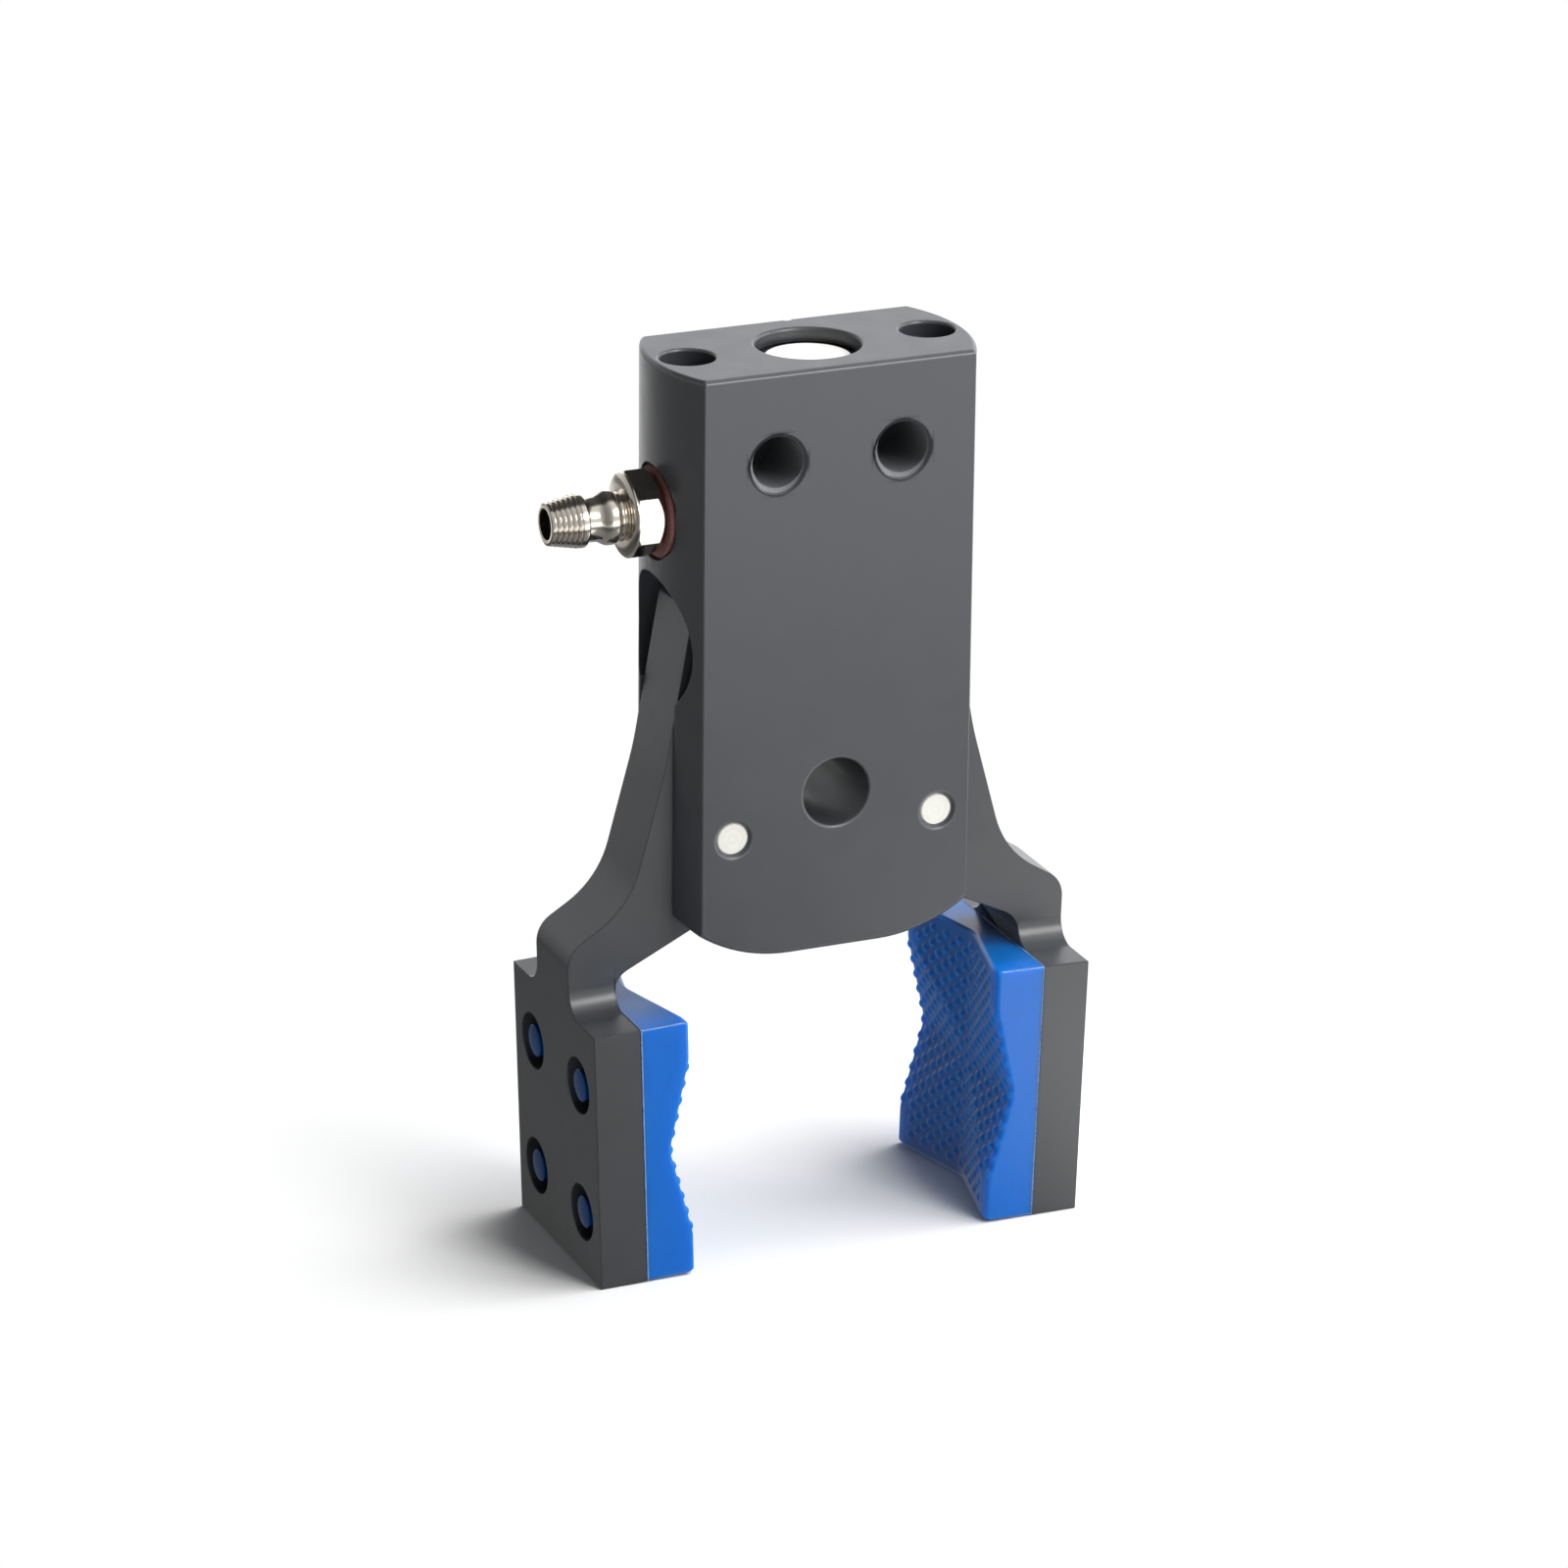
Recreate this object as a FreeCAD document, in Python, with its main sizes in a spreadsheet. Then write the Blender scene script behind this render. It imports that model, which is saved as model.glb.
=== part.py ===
"""Pneumatic mini gripper: a slotted round body, two swinging fingers and their soft grip pads.

Millimetres. The origin is the centre of the body's top face. +Z is up, +X points to the right
finger, +Y to the back, and the hose fitting stands out on the -X side.
"""
import FreeCAD, Part
import math
import os
import re
import Sketcher
from FreeCAD import Placement, Rotation, Vector

# Driving sizes
SIZES = {
    # Body: a round bar with two flats, rounded towards its lower end
    "body_diameter": 30.0,
    "body_across_flats": 15.0,
    "body_length": 55.0,
    "body_edge_chamfer": 0.3,
    "body_end_radius": 15.0,
    "body_end_flat": 8.8,
    # Slots for the fingers, and the solid web between them
    "slot_width": 8.0,
    "web_gap": 0.55,
    "cross_bore_diameter": 12.6,
    "cross_bore_drop": 26.0,
    # Bore for the end plug, its ring groove and the air channel below it
    "plug_bore_diameter": 9.5,
    "plug_bore_depth": 4.8,
    "plug_bore_chamfer": 0.2,
    "plug_recess": 1.2,
    "plug_boss_diameter": 8.1,
    "plug_boss_height": 1.0,
    "plug_clearance": 0.05,
    "ring_groove_depth": 0.4,
    "ring_thickness": 0.75,
    "ring_gap": 1.6,
    "ring_play": 0.1,
    "plug_seal_section": 0.9,
    "plug_seal_squeeze": 0.75,
    "plug_seal_drop": 3.5,
    "air_channel_diameter": 3.0,
    # Threaded holes, drilled to their full depth
    "top_hole_diameter": 5.0,
    "top_hole_edge_distance": 3.4,
    "top_hole_depth": 8.0,
    "front_hole_diameter": 5.0,
    "front_hole_spacing": 12.0,
    "front_hole_drop": 8.4,
    "front_hole_depth": 6.0,
    "through_hole_diameter": 6.4,
    "through_hole_drop": 40.0,
    "hole_chamfer": 0.17,
    "drill_tip_angle": 118.0,
    # Index nick in the back edge of the top face
    "nick_diameter": 1.0,
    "nick_across": 1.1,
    "nick_depth": 0.5,
    # Air port, its spot face, and the fitting with its washer
    "port_drop": 13.9,
    "port_diameter": 5.0,
    "port_depth": 6.0,
    "shank_chamfer": 0.3,
    "port_drilling_diameter": 2.0,
    "spot_face_diameter": 8.8,
    "spot_face_inset": 0.7,
    "washer_diameter": 8.3,
    "washer_thickness": 0.5,
    "washer_clearance": 0.1,
    "hexagon_across_flats": 7.0,
    "hexagon_height": 2.8,
    "hexagon_turn": 4.0,
    "hexagon_seat_diameter": 6.4,
    "hexagon_end_diameter": 7.4,
    "collar_diameter": 7.7,
    "collar_height": 0.55,
    "collar_radius": 0.45,
    "neck_diameter": 4.1,
    "neck_length": 0.45,
    "bead_diameter": 5.0,
    "bead_length": 1.0,
    "bead_radius": 0.4,
    "bead_taper": 0.8,
    "waist_diameter": 4.1,
    "waist_length": 1.3,
    "barb_diameter": 4.85,
    "barb_land": 0.6,
    "barb_tip_diameter": 3.6,
    "barb_length": 2.8,
    "barb_ridge_depth": 0.1,
    "barb_ridge_count": 6.0,
    "fitting_bore_diameter": 2.8,
    "fitting_throat_diameter": 1.8,
    # Pivots of the fingers
    "pivot_edge_distance": 5.0,
    "pivot_drop": 43.2,
    "pivot_diameter": 3.0,
    "pivot_inset": 0.3,
    "pivot_hole_chamfer": 0.33,
    "pin_chamfer": 0.1,
    "pivot_clearance": 0.02,
    "bush_wall": 0.75,
    # Lever of a finger, measured from its pivot, outwards and up
    "lever_clearance": 0.1,
    "lever_top": 20.8,
    "lever_top_outer": 2.0,
    "lever_bend_across": 5.0,
    "lever_bend_height": 6.2,
    "lever_bend_radius": 30.0,
    "lever_elbow_across": 8.79,
    "lever_elbow_drop": 6.26,
    "lever_elbow_radius": 9.0,
    "lever_shoulder_drop": 9.81,
    "lever_shoulder_radius": 2.8,
    "lever_heel_across": 10.45,
    "lever_heel_drop": 12.95,
    "lever_heel_radius": 2.2,
    "lever_toe_across": 1.4,
    "lever_toe_drop": 7.61,
    "lever_hub_across": 2.95,
    "lever_hub_height": 2.0,
    "lever_arm_across": 2.4,
    "lever_arm_start": 6.0,
    "lever_corner_radius": 0.6,
    "finger_toe_in": 1.65,
    # Jaw plate at the lever's lower end
    "jaw_thickness": 4.5,
    "jaw_width": 20.0,
    "jaw_top_drop": 15.6,
    "jaw_bottom_drop": 40.4,
    "jaw_fillet_radius": 2.3,
    "peg_spacing_across": 11.2,
    "peg_spacing_up": 12.55,
    "peg_row_rise": 5.95,
    "peg_diameter": 3.0,
    "peg_clearance": 0.05,
    "peg_end_inset": 0.05,
    "counterbore_diameter": 5.3,
    "counterbore_depth": 2.0,
    # Grip pad with two crossed grooves
    "pad_thickness": 4.72,
    "pad_groove_depth": 2.1,
    "pad_groove_width": 17.5,
    # Pistons, their seals and the pins that they push
    "piston_clearance": 0.03,
    "piston_half_gap": 0.05,
    "piston_boss_diameter": 6.0,
    "piston_boss_height": 1.15,
    "piston_length": 4.4,
    "piston_nose_diameter": 5.0,
    "piston_chamfer": 0.3,
    "piston_seal_start": 0.45,
    "piston_seal_width": 1.2,
    "piston_seal_depth": 1.1,
    "contact_pin_diameter": 3.0,
    "contact_pin_across": 1.9,
    "contact_gap": 0.05,
    # Return springs in their pockets
    "spring_below_pivot": 5.3,
    "spring_outer_diameter": 3.6,
    "spring_wire_diameter": 0.5,
    "spring_turns": 6.0,
    "spring_play": 0.2,
    "spring_wall": 3.0,
    "spring_seat_depth": 2.5,
}

RIGHT = 1
LEFT = -1
BEYOND = 1.0

doc = FreeCAD.newDocument("mini_gripper")
sheet = doc.addObject("Spreadsheet::Sheet", "sizes")
for row, (alias, number) in enumerate(SIZES.items(), start=1):
    sheet.set("A%d" % row, alias)
    sheet.set("B%d" % row, str(number))
    sheet.setAlias("B%d" % row, alias)
doc.recompute()

ALIAS = re.compile(r"\b[a-z]+(?:_[a-z]+)+\b")


def linked(formula):
    """Name the sheet before each alias of a formula."""
    return ALIAS.sub(lambda match: "sizes." + match.group(), str(formula))


def value(formula):
    """Work out a formula on the sizes."""
    return float(sheet.evalExpression(linked(formula)))


# Distances from the body's axis, and heights, that several pieces share
PIVOT_REACH = "(body_diameter / 2 - pivot_edge_distance)"
TOP_HOLE_REACH = "(body_diameter / 2 - top_hole_edge_distance)"
WEB_REACH = "(%s - lever_hub_across - web_gap)" % PIVOT_REACH
SPRING_HEIGHT = "(-pivot_drop - spring_below_pivot)"

# Sketches and features


def new_body(label):
    body = doc.addObject("PartDesign::Body", label)
    body.Label = label
    return body


def new_sketch(body, role, height="0"):
    """Start a sketch on one of the body's own planes, or at a height above it."""
    sketch = body.newObject("Sketcher::SketchObject", body.Label + "_sketch")
    plane = next(item for item in body.Origin.OriginFeatures if item.Role == role)
    sketch.AttachmentSupport = [(plane, "")]
    sketch.MapMode = "FlatFace"
    if height != "0":
        sketch.setExpression("AttachmentOffset.Base.z", linked(height))
    doc.recompute()
    return sketch


def bind(sketch, constraint, formula):
    """Add a dimension to a sketch and tie it to a formula on the sizes."""
    index = sketch.addConstraint(constraint)
    sketch.setExpression("Constraints[%d]" % index, linked(formula))


def fix_point(sketch, geometry, position, across, up):
    """Hold a point at its distances from the sketch's origin."""
    bind(sketch, Sketcher.Constraint("DistanceX", -1, 1, geometry, position, value(across)), across)
    bind(sketch, Sketcher.Constraint("DistanceY", -1, 1, geometry, position, value(up)), up)


def corner_arc(before, corner, after, radius):
    """Give the arc that rounds a corner, its two ends in order, and whether it turns left."""
    arriving = (corner - before).normalize()
    leaving = (after - corner).normalize()
    turn = math.atan2(arriving.cross(leaving).z, arriving.dot(leaving))
    setback = radius * math.tan(abs(turn) / 2)
    start = corner - arriving * setback
    end = corner + leaving * setback
    left = turn > 0
    inward = Vector(-arriving.y, arriving.x, 0) * (1 if left else -1)
    centre = start + inward * radius
    first, last = (start, end) if left else (end, start)
    angles = [math.atan2(point.y - centre.y, point.x - centre.x) for point in (first, last)]
    arc = Part.ArcOfCircle(Part.Circle(centre, Vector(0, 0, 1), radius), angles[0], angles[1])
    return arc, start, end, left


def add_outline(sketch, corners):
    """Draw a closed outline through corners of (across, up, radius), all formulas; 0 is sharp."""
    points = [Vector(value(across), value(up), 0) for across, up, _ in corners]
    radii = [value(radius) for _, _, radius in corners]
    count = len(corners)
    ends = [(point, point) for point in points]
    arcs = {}
    for index, radius in enumerate(radii):
        if radius > 0:
            after = points[(index + 1) % count]
            arc, start, end, left = corner_arc(points[index - 1], points[index], after, radius)
            ends[index] = (start, end)
            arcs[index] = (arc, left)
    lines = []
    for index in range(count):
        following = (index + 1) % count
        segment = Part.LineSegment(ends[index][1], ends[following][0])
        lines.append(sketch.addGeometry(segment, False))
    for index, (across, up, radius) in enumerate(corners):
        incoming, outgoing = lines[index - 1], lines[index]
        if index not in arcs:
            sketch.addConstraint(Sketcher.Constraint("Coincident", incoming, 2, outgoing, 1))
            fix_point(sketch, outgoing, 1, across, up)
            continue
        arc, left = arcs[index]
        rounding = sketch.addGeometry(arc, False)
        apex = sketch.addGeometry(Part.Point(points[index]), True)
        first, last = (1, 2) if left else (2, 1)
        sketch.addConstraint(Sketcher.Constraint("Tangent", incoming, 2, rounding, first))
        sketch.addConstraint(Sketcher.Constraint("Tangent", outgoing, 1, rounding, last))
        sketch.addConstraint(Sketcher.Constraint("PointOnObject", apex, 1, incoming))
        sketch.addConstraint(Sketcher.Constraint("PointOnObject", apex, 1, outgoing))
        fix_point(sketch, apex, 1, across, up)
        bind(sketch, Sketcher.Constraint("Radius", rounding, value(radius)), radius)


def sharp(*points):
    """Corners without rounding."""
    return [(across, up, "0") for across, up in points]


def add_circle(sketch, across, up, diameter):
    centre = Vector(value(across), value(up), 0)
    circle = sketch.addGeometry(Part.Circle(centre, Vector(0, 0, 1), value(diameter) / 2), False)
    fix_point(sketch, circle, 3, across, up)
    bind(sketch, Sketcher.Constraint("Diameter", circle, value(diameter)), diameter)


def add_axis(sketch, across, up, along):
    """Draw a construction line as an axis, through a point and along X or Y of the sketch."""
    start = Vector(value(across), value(up), 0)
    direction = Vector(1, 0, 0) if along == "Horizontal" else Vector(0, 1, 0)
    axis = sketch.addGeometry(Part.LineSegment(start, start + direction), True)
    sketch.addConstraint(Sketcher.Constraint(along, axis))
    fix_point(sketch, axis, 1, across, up)
    bind(sketch, Sketcher.Constraint("Distance", axis, 1.0), "1")


def finish_feature(body, feature, adds):
    """Recompute, and stop if the feature did not change the volume as it should."""
    before = feature.BaseFeature.Shape.Volume if feature.BaseFeature else 0.0
    doc.recompute()
    after = feature.Shape.Volume
    if (after <= before) if adds else (after >= before):
        raise RuntimeError("%s did not change the volume of %s" % (feature.Name, body.Label))
    return feature


def pad(body, sketch, length, both_ways=False, backwards=False):
    """Extrude a sketch into material."""
    feature = body.newObject("PartDesign::Pad", body.Label + "_pad")
    feature.Profile = sketch
    feature.setExpression("Length", linked(length))
    feature.Midplane = both_ways
    feature.Reversed = backwards
    return finish_feature(body, feature, True)


def pocket(body, sketch, depth=None, both_ways=False, backwards=False):
    """Cut a sketch out of the body, right through where no depth is given."""
    feature = body.newObject("PartDesign::Pocket", body.Label + "_pocket")
    feature.Profile = sketch
    if depth is None:
        feature.Type = "ThroughAll"
    else:
        feature.setExpression("Length", linked(depth))
    feature.Midplane = both_ways
    feature.Reversed = backwards
    return finish_feature(body, feature, False)


def turn(body, sketch, axis="V_Axis", cuts=False):
    """Revolve a sketch about one of its axes, as material or as a cut."""
    kind = "PartDesign::Groove" if cuts else "PartDesign::Revolution"
    feature = body.newObject(kind, body.Label + "_turned")
    feature.Profile = sketch
    feature.ReferenceAxis = (sketch, [axis])
    feature.Angle = 360.0
    return finish_feature(body, feature, not cuts)


def face_names(feature, test):
    """Name the faces of a feature whose shape passes a test."""
    faces = enumerate(feature.Shape.Faces, start=1)
    return ["Face%d" % number for number, face in faces if test(face)]


def chamfer_faces(body, feature, names, size):
    """Chamfer every edge of the named faces."""
    chamfer = body.newObject("PartDesign::Chamfer", body.Label + "_chamfer")
    chamfer.Base = (feature, names)
    chamfer.setExpression("Size", linked(size))
    return finish_feature(body, chamfer, False)


def drill_tip(diameter):
    """Depth of the cone that a drill leaves at the end of its hole."""
    return "%s / 2 / tan(drill_tip_angle * 1 deg / 2)" % diameter


# Body


def drill(body, plane, height, across, diameter, start, depth, toward):
    """Cut a blind drilled hole with a chamfered mouth, along Y of a sketch plane."""
    sketch = new_sketch(body, plane, height)
    edge = "%s + %s * hole_chamfer" % (start, toward)
    full = "%s + %s * (%s)" % (start, toward, depth)
    tip = "%s + %s * (%s + %s)" % (start, toward, depth, drill_tip(diameter))
    wall = "%s + %s / 2" % (across, diameter)
    add_outline(sketch, sharp(
        (across, start), (wall + " + hole_chamfer", start), (wall, edge), (wall, full), (across, tip),
    ))
    add_axis(sketch, across, start, "Vertical")
    turn(body, sketch, "Axis0", cuts=True)


def drill_across(body, height, across, diameter, chamfer):
    """Cut a hole from flat to flat, chamfered at both mouths."""
    sketch = new_sketch(body, "XY_Plane", height)
    face = "body_across_flats / 2"
    wall = "%s + %s / 2" % (across, diameter)
    mouth = "%s + %s" % (wall, chamfer)
    inset = "%s - %s" % (face, chamfer)
    add_outline(sketch, sharp(
        (across, "-(%s)" % face), (mouth, "-(%s)" % face), (wall, "-(%s)" % inset),
        (wall, inset), (mouth, face), (across, face),
    ))
    add_axis(sketch, across, "0", "Vertical")
    turn(body, sketch, "Axis0", cuts=True)


def gripper_body():
    body = new_body("gripper_body")
    # Plate between the flats, rounded towards its lower end, and turned down to the bar
    plate = new_sketch(body, "XZ_Plane")
    half = "(body_end_flat / 2 + body_end_radius)"
    add_outline(plate, [
        (half, "-body_length", "body_end_radius"), (half, "0", "0"),
        ("-" + half, "0", "0"), ("-" + half, "-body_length", "body_end_radius"),
    ])
    pad(body, plate, "body_across_flats", both_ways=True)
    outside = new_sketch(body, "XY_Plane")
    add_circle(outside, "0", "0", "body_diameter")
    add_circle(outside, "0", "0", "4 * %s" % half)
    bar = pocket(body, outside)
    rims = face_names(bar, lambda face: abs(face.normalAt(0, 0).z) > 0.99)
    chamfer_faces(body, bar, rims, "body_edge_chamfer")

    # Slots for the fingers and the cross bore of the pistons
    slots = new_sketch(body, "XZ_Plane")
    for side in (RIGHT, LEFT):
        inner = "%d * %s" % (side, WEB_REACH)
        outer = "%d * (body_diameter / 2 + %s)" % (side, BEYOND)
        low = "-body_length - %s" % BEYOND
        high = "-cross_bore_drop"
        add_outline(slots, sharp((inner, low), (outer, low), (outer, high), (inner, high)))
    pocket(body, slots, "slot_width", both_ways=True)
    cross = new_sketch(body, "YZ_Plane")
    add_circle(cross, "0", "-cross_bore_drop", "cross_bore_diameter")
    pocket(body, cross, both_ways=True)

    # Plug bore with its ring groove, and the air channel down to the cross bore
    channel = new_sketch(body, "XZ_Plane")
    bore = "plug_bore_diameter / 2"
    groove = bore + " + ring_groove_depth"
    groove_low = "-plug_recess - plug_boss_height"
    groove_high = groove_low + " + ring_thickness + ring_play"
    narrow = "air_channel_diameter / 2"
    add_outline(channel, sharp(
        ("0", "0"), (bore + " + plug_bore_chamfer", "0"), (bore, "-plug_bore_chamfer"),
        (bore, groove_high), (groove, groove_high), (groove, groove_low), (bore, groove_low),
        (bore, "-plug_bore_depth"), (narrow, "-plug_bore_depth"),
        (narrow, "-cross_bore_drop"), ("0", "-cross_bore_drop"),
    ))
    turn(body, channel, cuts=True)

    # Air port with its spot face, drilled in to the channel
    port = new_sketch(body, "XZ_Plane")
    axis_height = "-port_drop"
    seat = "-body_diameter / 2 + spot_face_inset"
    outside = "-body_diameter / 2 - %s" % BEYOND
    bottom = seat + " + port_depth"
    spot = axis_height + " + spot_face_diameter / 2"
    thread = axis_height + " + port_diameter / 2"
    drilling = axis_height + " + port_drilling_diameter / 2"
    add_outline(port, sharp(
        (outside, axis_height), (outside, spot), (seat, spot), (seat, thread), (bottom, thread),
        (bottom, drilling), ("0", drilling), ("0", axis_height),
    ))
    add_axis(port, "0", axis_height, "Horizontal")
    turn(body, port, "Axis0", cuts=True)

    # Threaded holes in the top and in the front flat, and the clearance hole through the web
    for side in (RIGHT, LEFT):
        drill(body, "XZ_Plane", "0", "%d * %s" % (side, TOP_HOLE_REACH), "top_hole_diameter",
              "0", "top_hole_depth", -1)
        drill(body, "XY_Plane", "-front_hole_drop", "%d * front_hole_spacing / 2" % side,
              "front_hole_diameter", "-body_across_flats / 2", "front_hole_depth", 1)
    drill_across(body, "-through_hole_drop", "0", "through_hole_diameter", "hole_chamfer")
    nick = new_sketch(body, "XY_Plane")
    add_circle(nick, "nick_across", "body_across_flats / 2", "nick_diameter")
    pocket(body, nick, "nick_depth")

    # Pivot holes through both cheeks, and the spring pockets in the web
    for side in (RIGHT, LEFT):
        pivot = "%d * %s" % (side, PIVOT_REACH)
        drill_across(body, "-pivot_drop", pivot, "pivot_diameter", "pivot_hole_chamfer")
        pockets = new_sketch(body, "XZ_Plane")
        floor = "%d * spring_wall / 2" % side
        mouth = "%d * (%s + %s)" % (side, WEB_REACH, BEYOND)
        wall = SPRING_HEIGHT + " + spring_outer_diameter / 2 + spring_play"
        add_outline(pockets, sharp(
            (floor, SPRING_HEIGHT), (mouth, SPRING_HEIGHT), (mouth, wall), (floor, wall),
        ))
        add_axis(pockets, "0", SPRING_HEIGHT, "Horizontal")
        turn(body, pockets, "Axis0", cuts=True)
    return body


# Plug, ring and seal in the top


def end_plug():
    body = new_body("end_plug")
    sketch = new_sketch(body, "XZ_Plane")
    top = "-plug_recess"
    shoulder = "-plug_recess - plug_boss_height"
    boss = "plug_boss_diameter / 2"
    flange = "plug_bore_diameter / 2 - plug_clearance"
    root = "plug_bore_diameter / 2 - plug_seal_squeeze"
    groove_high = "-plug_seal_drop + plug_seal_section / 2 + plug_clearance"
    groove_low = "-plug_seal_drop - plug_seal_section / 2 - plug_clearance"
    add_outline(sketch, sharp(
        ("0", top), (boss + " - plug_bore_chamfer", top), (boss, top + " - plug_bore_chamfer"),
        (boss, shoulder), (flange, shoulder), (flange, groove_high), (root, groove_high),
        (root, groove_low), (flange, groove_low), (flange, "-plug_bore_depth"),
        ("0", "-plug_bore_depth"),
    ))
    turn(body, sketch)
    return body


def plug_o_ring():
    """The seal as it sits squeezed between the plug's groove and the bore."""
    body = new_body("plug_o_ring")
    sketch = new_sketch(body, "XZ_Plane")
    inner = "plug_bore_diameter / 2 - plug_seal_squeeze"
    outer = "plug_bore_diameter / 2"
    low = "-plug_seal_drop - plug_seal_section / 2"
    high = "-plug_seal_drop + plug_seal_section / 2"
    rounding = "plug_seal_squeeze / 3"
    add_outline(sketch, [
        (inner, low, rounding), (outer, low, rounding), (outer, high, rounding), (inner, high, rounding),
    ])
    turn(body, sketch)
    return body


def plug_retaining_ring():
    """Snap ring in its groove, open at the front."""
    body = new_body("plug_retaining_ring")
    sketch = new_sketch(body, "XZ_Plane")
    inner = "plug_boss_diameter / 2 + ring_play"
    outer = "plug_bore_diameter / 2 + ring_groove_depth"
    low = "-plug_recess - plug_boss_height"
    high = low + " + ring_thickness"
    add_outline(sketch, sharp((inner, low), (outer, low), (outer, high), (inner, high)))
    turn(body, sketch)
    gap = new_sketch(body, "XY_Plane")
    add_outline(gap, sharp(
        ("-ring_gap / 2", "0"), ("-ring_gap / 2", "-plug_bore_diameter"),
        ("ring_gap / 2", "-plug_bore_diameter"), ("ring_gap / 2", "0"),
    ))
    pocket(body, gap)
    return body


# Hose fitting and its washer, each turned about its own Z


def on_port(distance):
    """Place a piece on the air port, its Z pointing out of the body."""
    seat = value("body_diameter / 2 - spot_face_inset")
    place = Vector(-seat - value(distance), 0, -value("port_drop"))
    return Placement(place, Rotation(Vector(0, 1, 0), -90))


def fitting_washer():
    body = new_body("fitting_washer")
    sketch = new_sketch(body, "XZ_Plane")
    inner = "port_diameter / 2 + washer_clearance"
    outer = "washer_diameter / 2"
    edge = "washer_thickness / 4"
    add_outline(sketch, [
        (inner, "0", "0"), (outer, "0", edge), (outer, "washer_thickness", edge),
        (inner, "washer_thickness", "0"),
    ])
    turn(body, sketch)
    body.Placement = on_port("0")
    return body


def hose_fitting():
    """Threaded shank, hexagon, domed collar, bead and ridged barb."""
    body = new_body("hose_fitting")
    # Hexagon with its corners turned off
    plan = new_sketch(body, "XY_Plane")
    corner_radius = "hexagon_across_flats / 2 / cos(30 * 1 deg)"
    corners = []
    for index in range(6):
        angle = "(hexagon_turn + %d) * 1 deg" % (60 * index)
        corners.append(tuple("%s * %s(%s)" % (corner_radius, part, angle) for part in ("cos", "sin")))
    add_outline(plan, sharp(*corners))
    pad(body, plan, "hexagon_height")
    ridge = new_sketch(body, "XZ_Plane")
    outer = corner_radius + " + %s" % BEYOND
    for level, way, inner, slope in (
        ("hexagon_height", "-", "hexagon_end_diameter / 2", 30),
        ("0", "+", "hexagon_seat_diameter / 2", 45),
    ):
        drop = "(%s - %s) * tan(%d * 1 deg)" % (outer, inner, slope)
        add_outline(ridge, sharp(
            (inner, level), (outer, "%s %s %s" % (level, way, drop)), (outer, level),
        ))
    turn(body, ridge, cuts=True)
    # Shank below it, and collar, bead and waist above it
    stem = new_sketch(body, "XZ_Plane")
    shank = "port_diameter / 2"
    shank_low = "washer_clearance - port_depth"
    shank_edge = "shank_chamfer"
    collar = "collar_diameter / 2"
    collar_top = "hexagon_height + collar_height"
    neck = "neck_diameter / 2"
    bead = "bead_diameter / 2"
    bead_low = collar_top + " + neck_length"
    bead_top = bead_low + " + bead_length"
    waist = "waist_diameter / 2"
    waist_low = bead_top + " + bead_taper"
    barb_low = waist_low + " + waist_length"
    add_outline(stem, [
        ("0", shank_low, "0"), ("%s - %s" % (shank, shank_edge), shank_low, "0"),
        (shank, "%s + %s" % (shank_low, shank_edge), "0"), (shank, "hexagon_height", "0"),
        (collar, "hexagon_height", "0"), (collar, collar_top, "collar_radius"),
        (neck, collar_top, "0"), (neck, bead_low, "0"),
        (bead, bead_low, "bead_radius"), (bead, bead_top, "bead_radius"),
        (waist, waist_low, "bead_radius"), (waist, barb_low, "0"), ("0", barb_low, "0"),
    ])
    turn(body, stem)
    # Barb: a plain land, then fine ridges that shrink towards its tip
    barb = new_sketch(body, "XZ_Plane")
    ridges = round(value("barb_ridge_count"))
    corners = [("0", barb_low), ("barb_diameter / 2", barb_low)]
    for index in range(ridges):
        wide = "barb_diameter / 2 - (barb_diameter - barb_tip_diameter) / 2 * %d / %d" % (index, ridges)
        start = "%s + barb_land + barb_length * %d / %d" % (barb_low, index, ridges)
        end = "%s + barb_land + barb_length * %d / %d" % (barb_low, index + 1, ridges)
        corners.append((wide, start))
        taper = "barb_ridge_depth + (barb_diameter - barb_tip_diameter) / 2 / %d" % ridges
        corners.append(("%s - %s" % (wide, taper), end))
    corners.append(("0", barb_low + " + barb_land + barb_length"))
    add_outline(barb, sharp(*corners))
    turn(body, barb)
    # Air way through it, narrower in the shank
    way = new_sketch(body, "XZ_Plane")
    wide = "fitting_bore_diameter / 2"
    throat = "fitting_throat_diameter / 2"
    end = barb_low + " + barb_land + barb_length"
    add_outline(way, sharp(
        ("0", shank_low), (throat, shank_low), (throat, "0"), (wide, "hexagon_height"),
        (wide, end), ("0", end),
    ))
    turn(body, way, cuts=True)
    body.Placement = on_port("washer_thickness")
    return body


# Fingers: every piece of one is built about its pivot, outwards along X, and then placed


def at_pivot(side, angle="finger_toe_in"):
    """Place a piece at a finger's pivot, leaning inwards at its lower end by an angle."""
    lean = Rotation(Vector(0, 1, 0), value(angle))
    about = Rotation(Vector(0, 0, 1), 0 if side == RIGHT else 180)
    place = Vector(side * value(PIVOT_REACH), 0, -value("pivot_drop"))
    return Placement(place, about.multiply(lean))


LEVER_THICKNESS = "slot_width - 2 * lever_clearance"
JAW_OUTER = "lever_heel_across + jaw_thickness"
SPRING_LEVEL = "-spring_below_pivot"
CONTACT_PIN_HEIGHT = "pivot_drop - cross_bore_drop"
PEG_LOW = "-jaw_bottom_drop + peg_row_rise"
PEG_HIGH = PEG_LOW + " + peg_spacing_up"
PEG_PLACES = [
    ("%d * peg_spacing_across / 2" % side, level)
    for side in (LEFT, RIGHT) for level in (PEG_LOW, PEG_HIGH)
]


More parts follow.
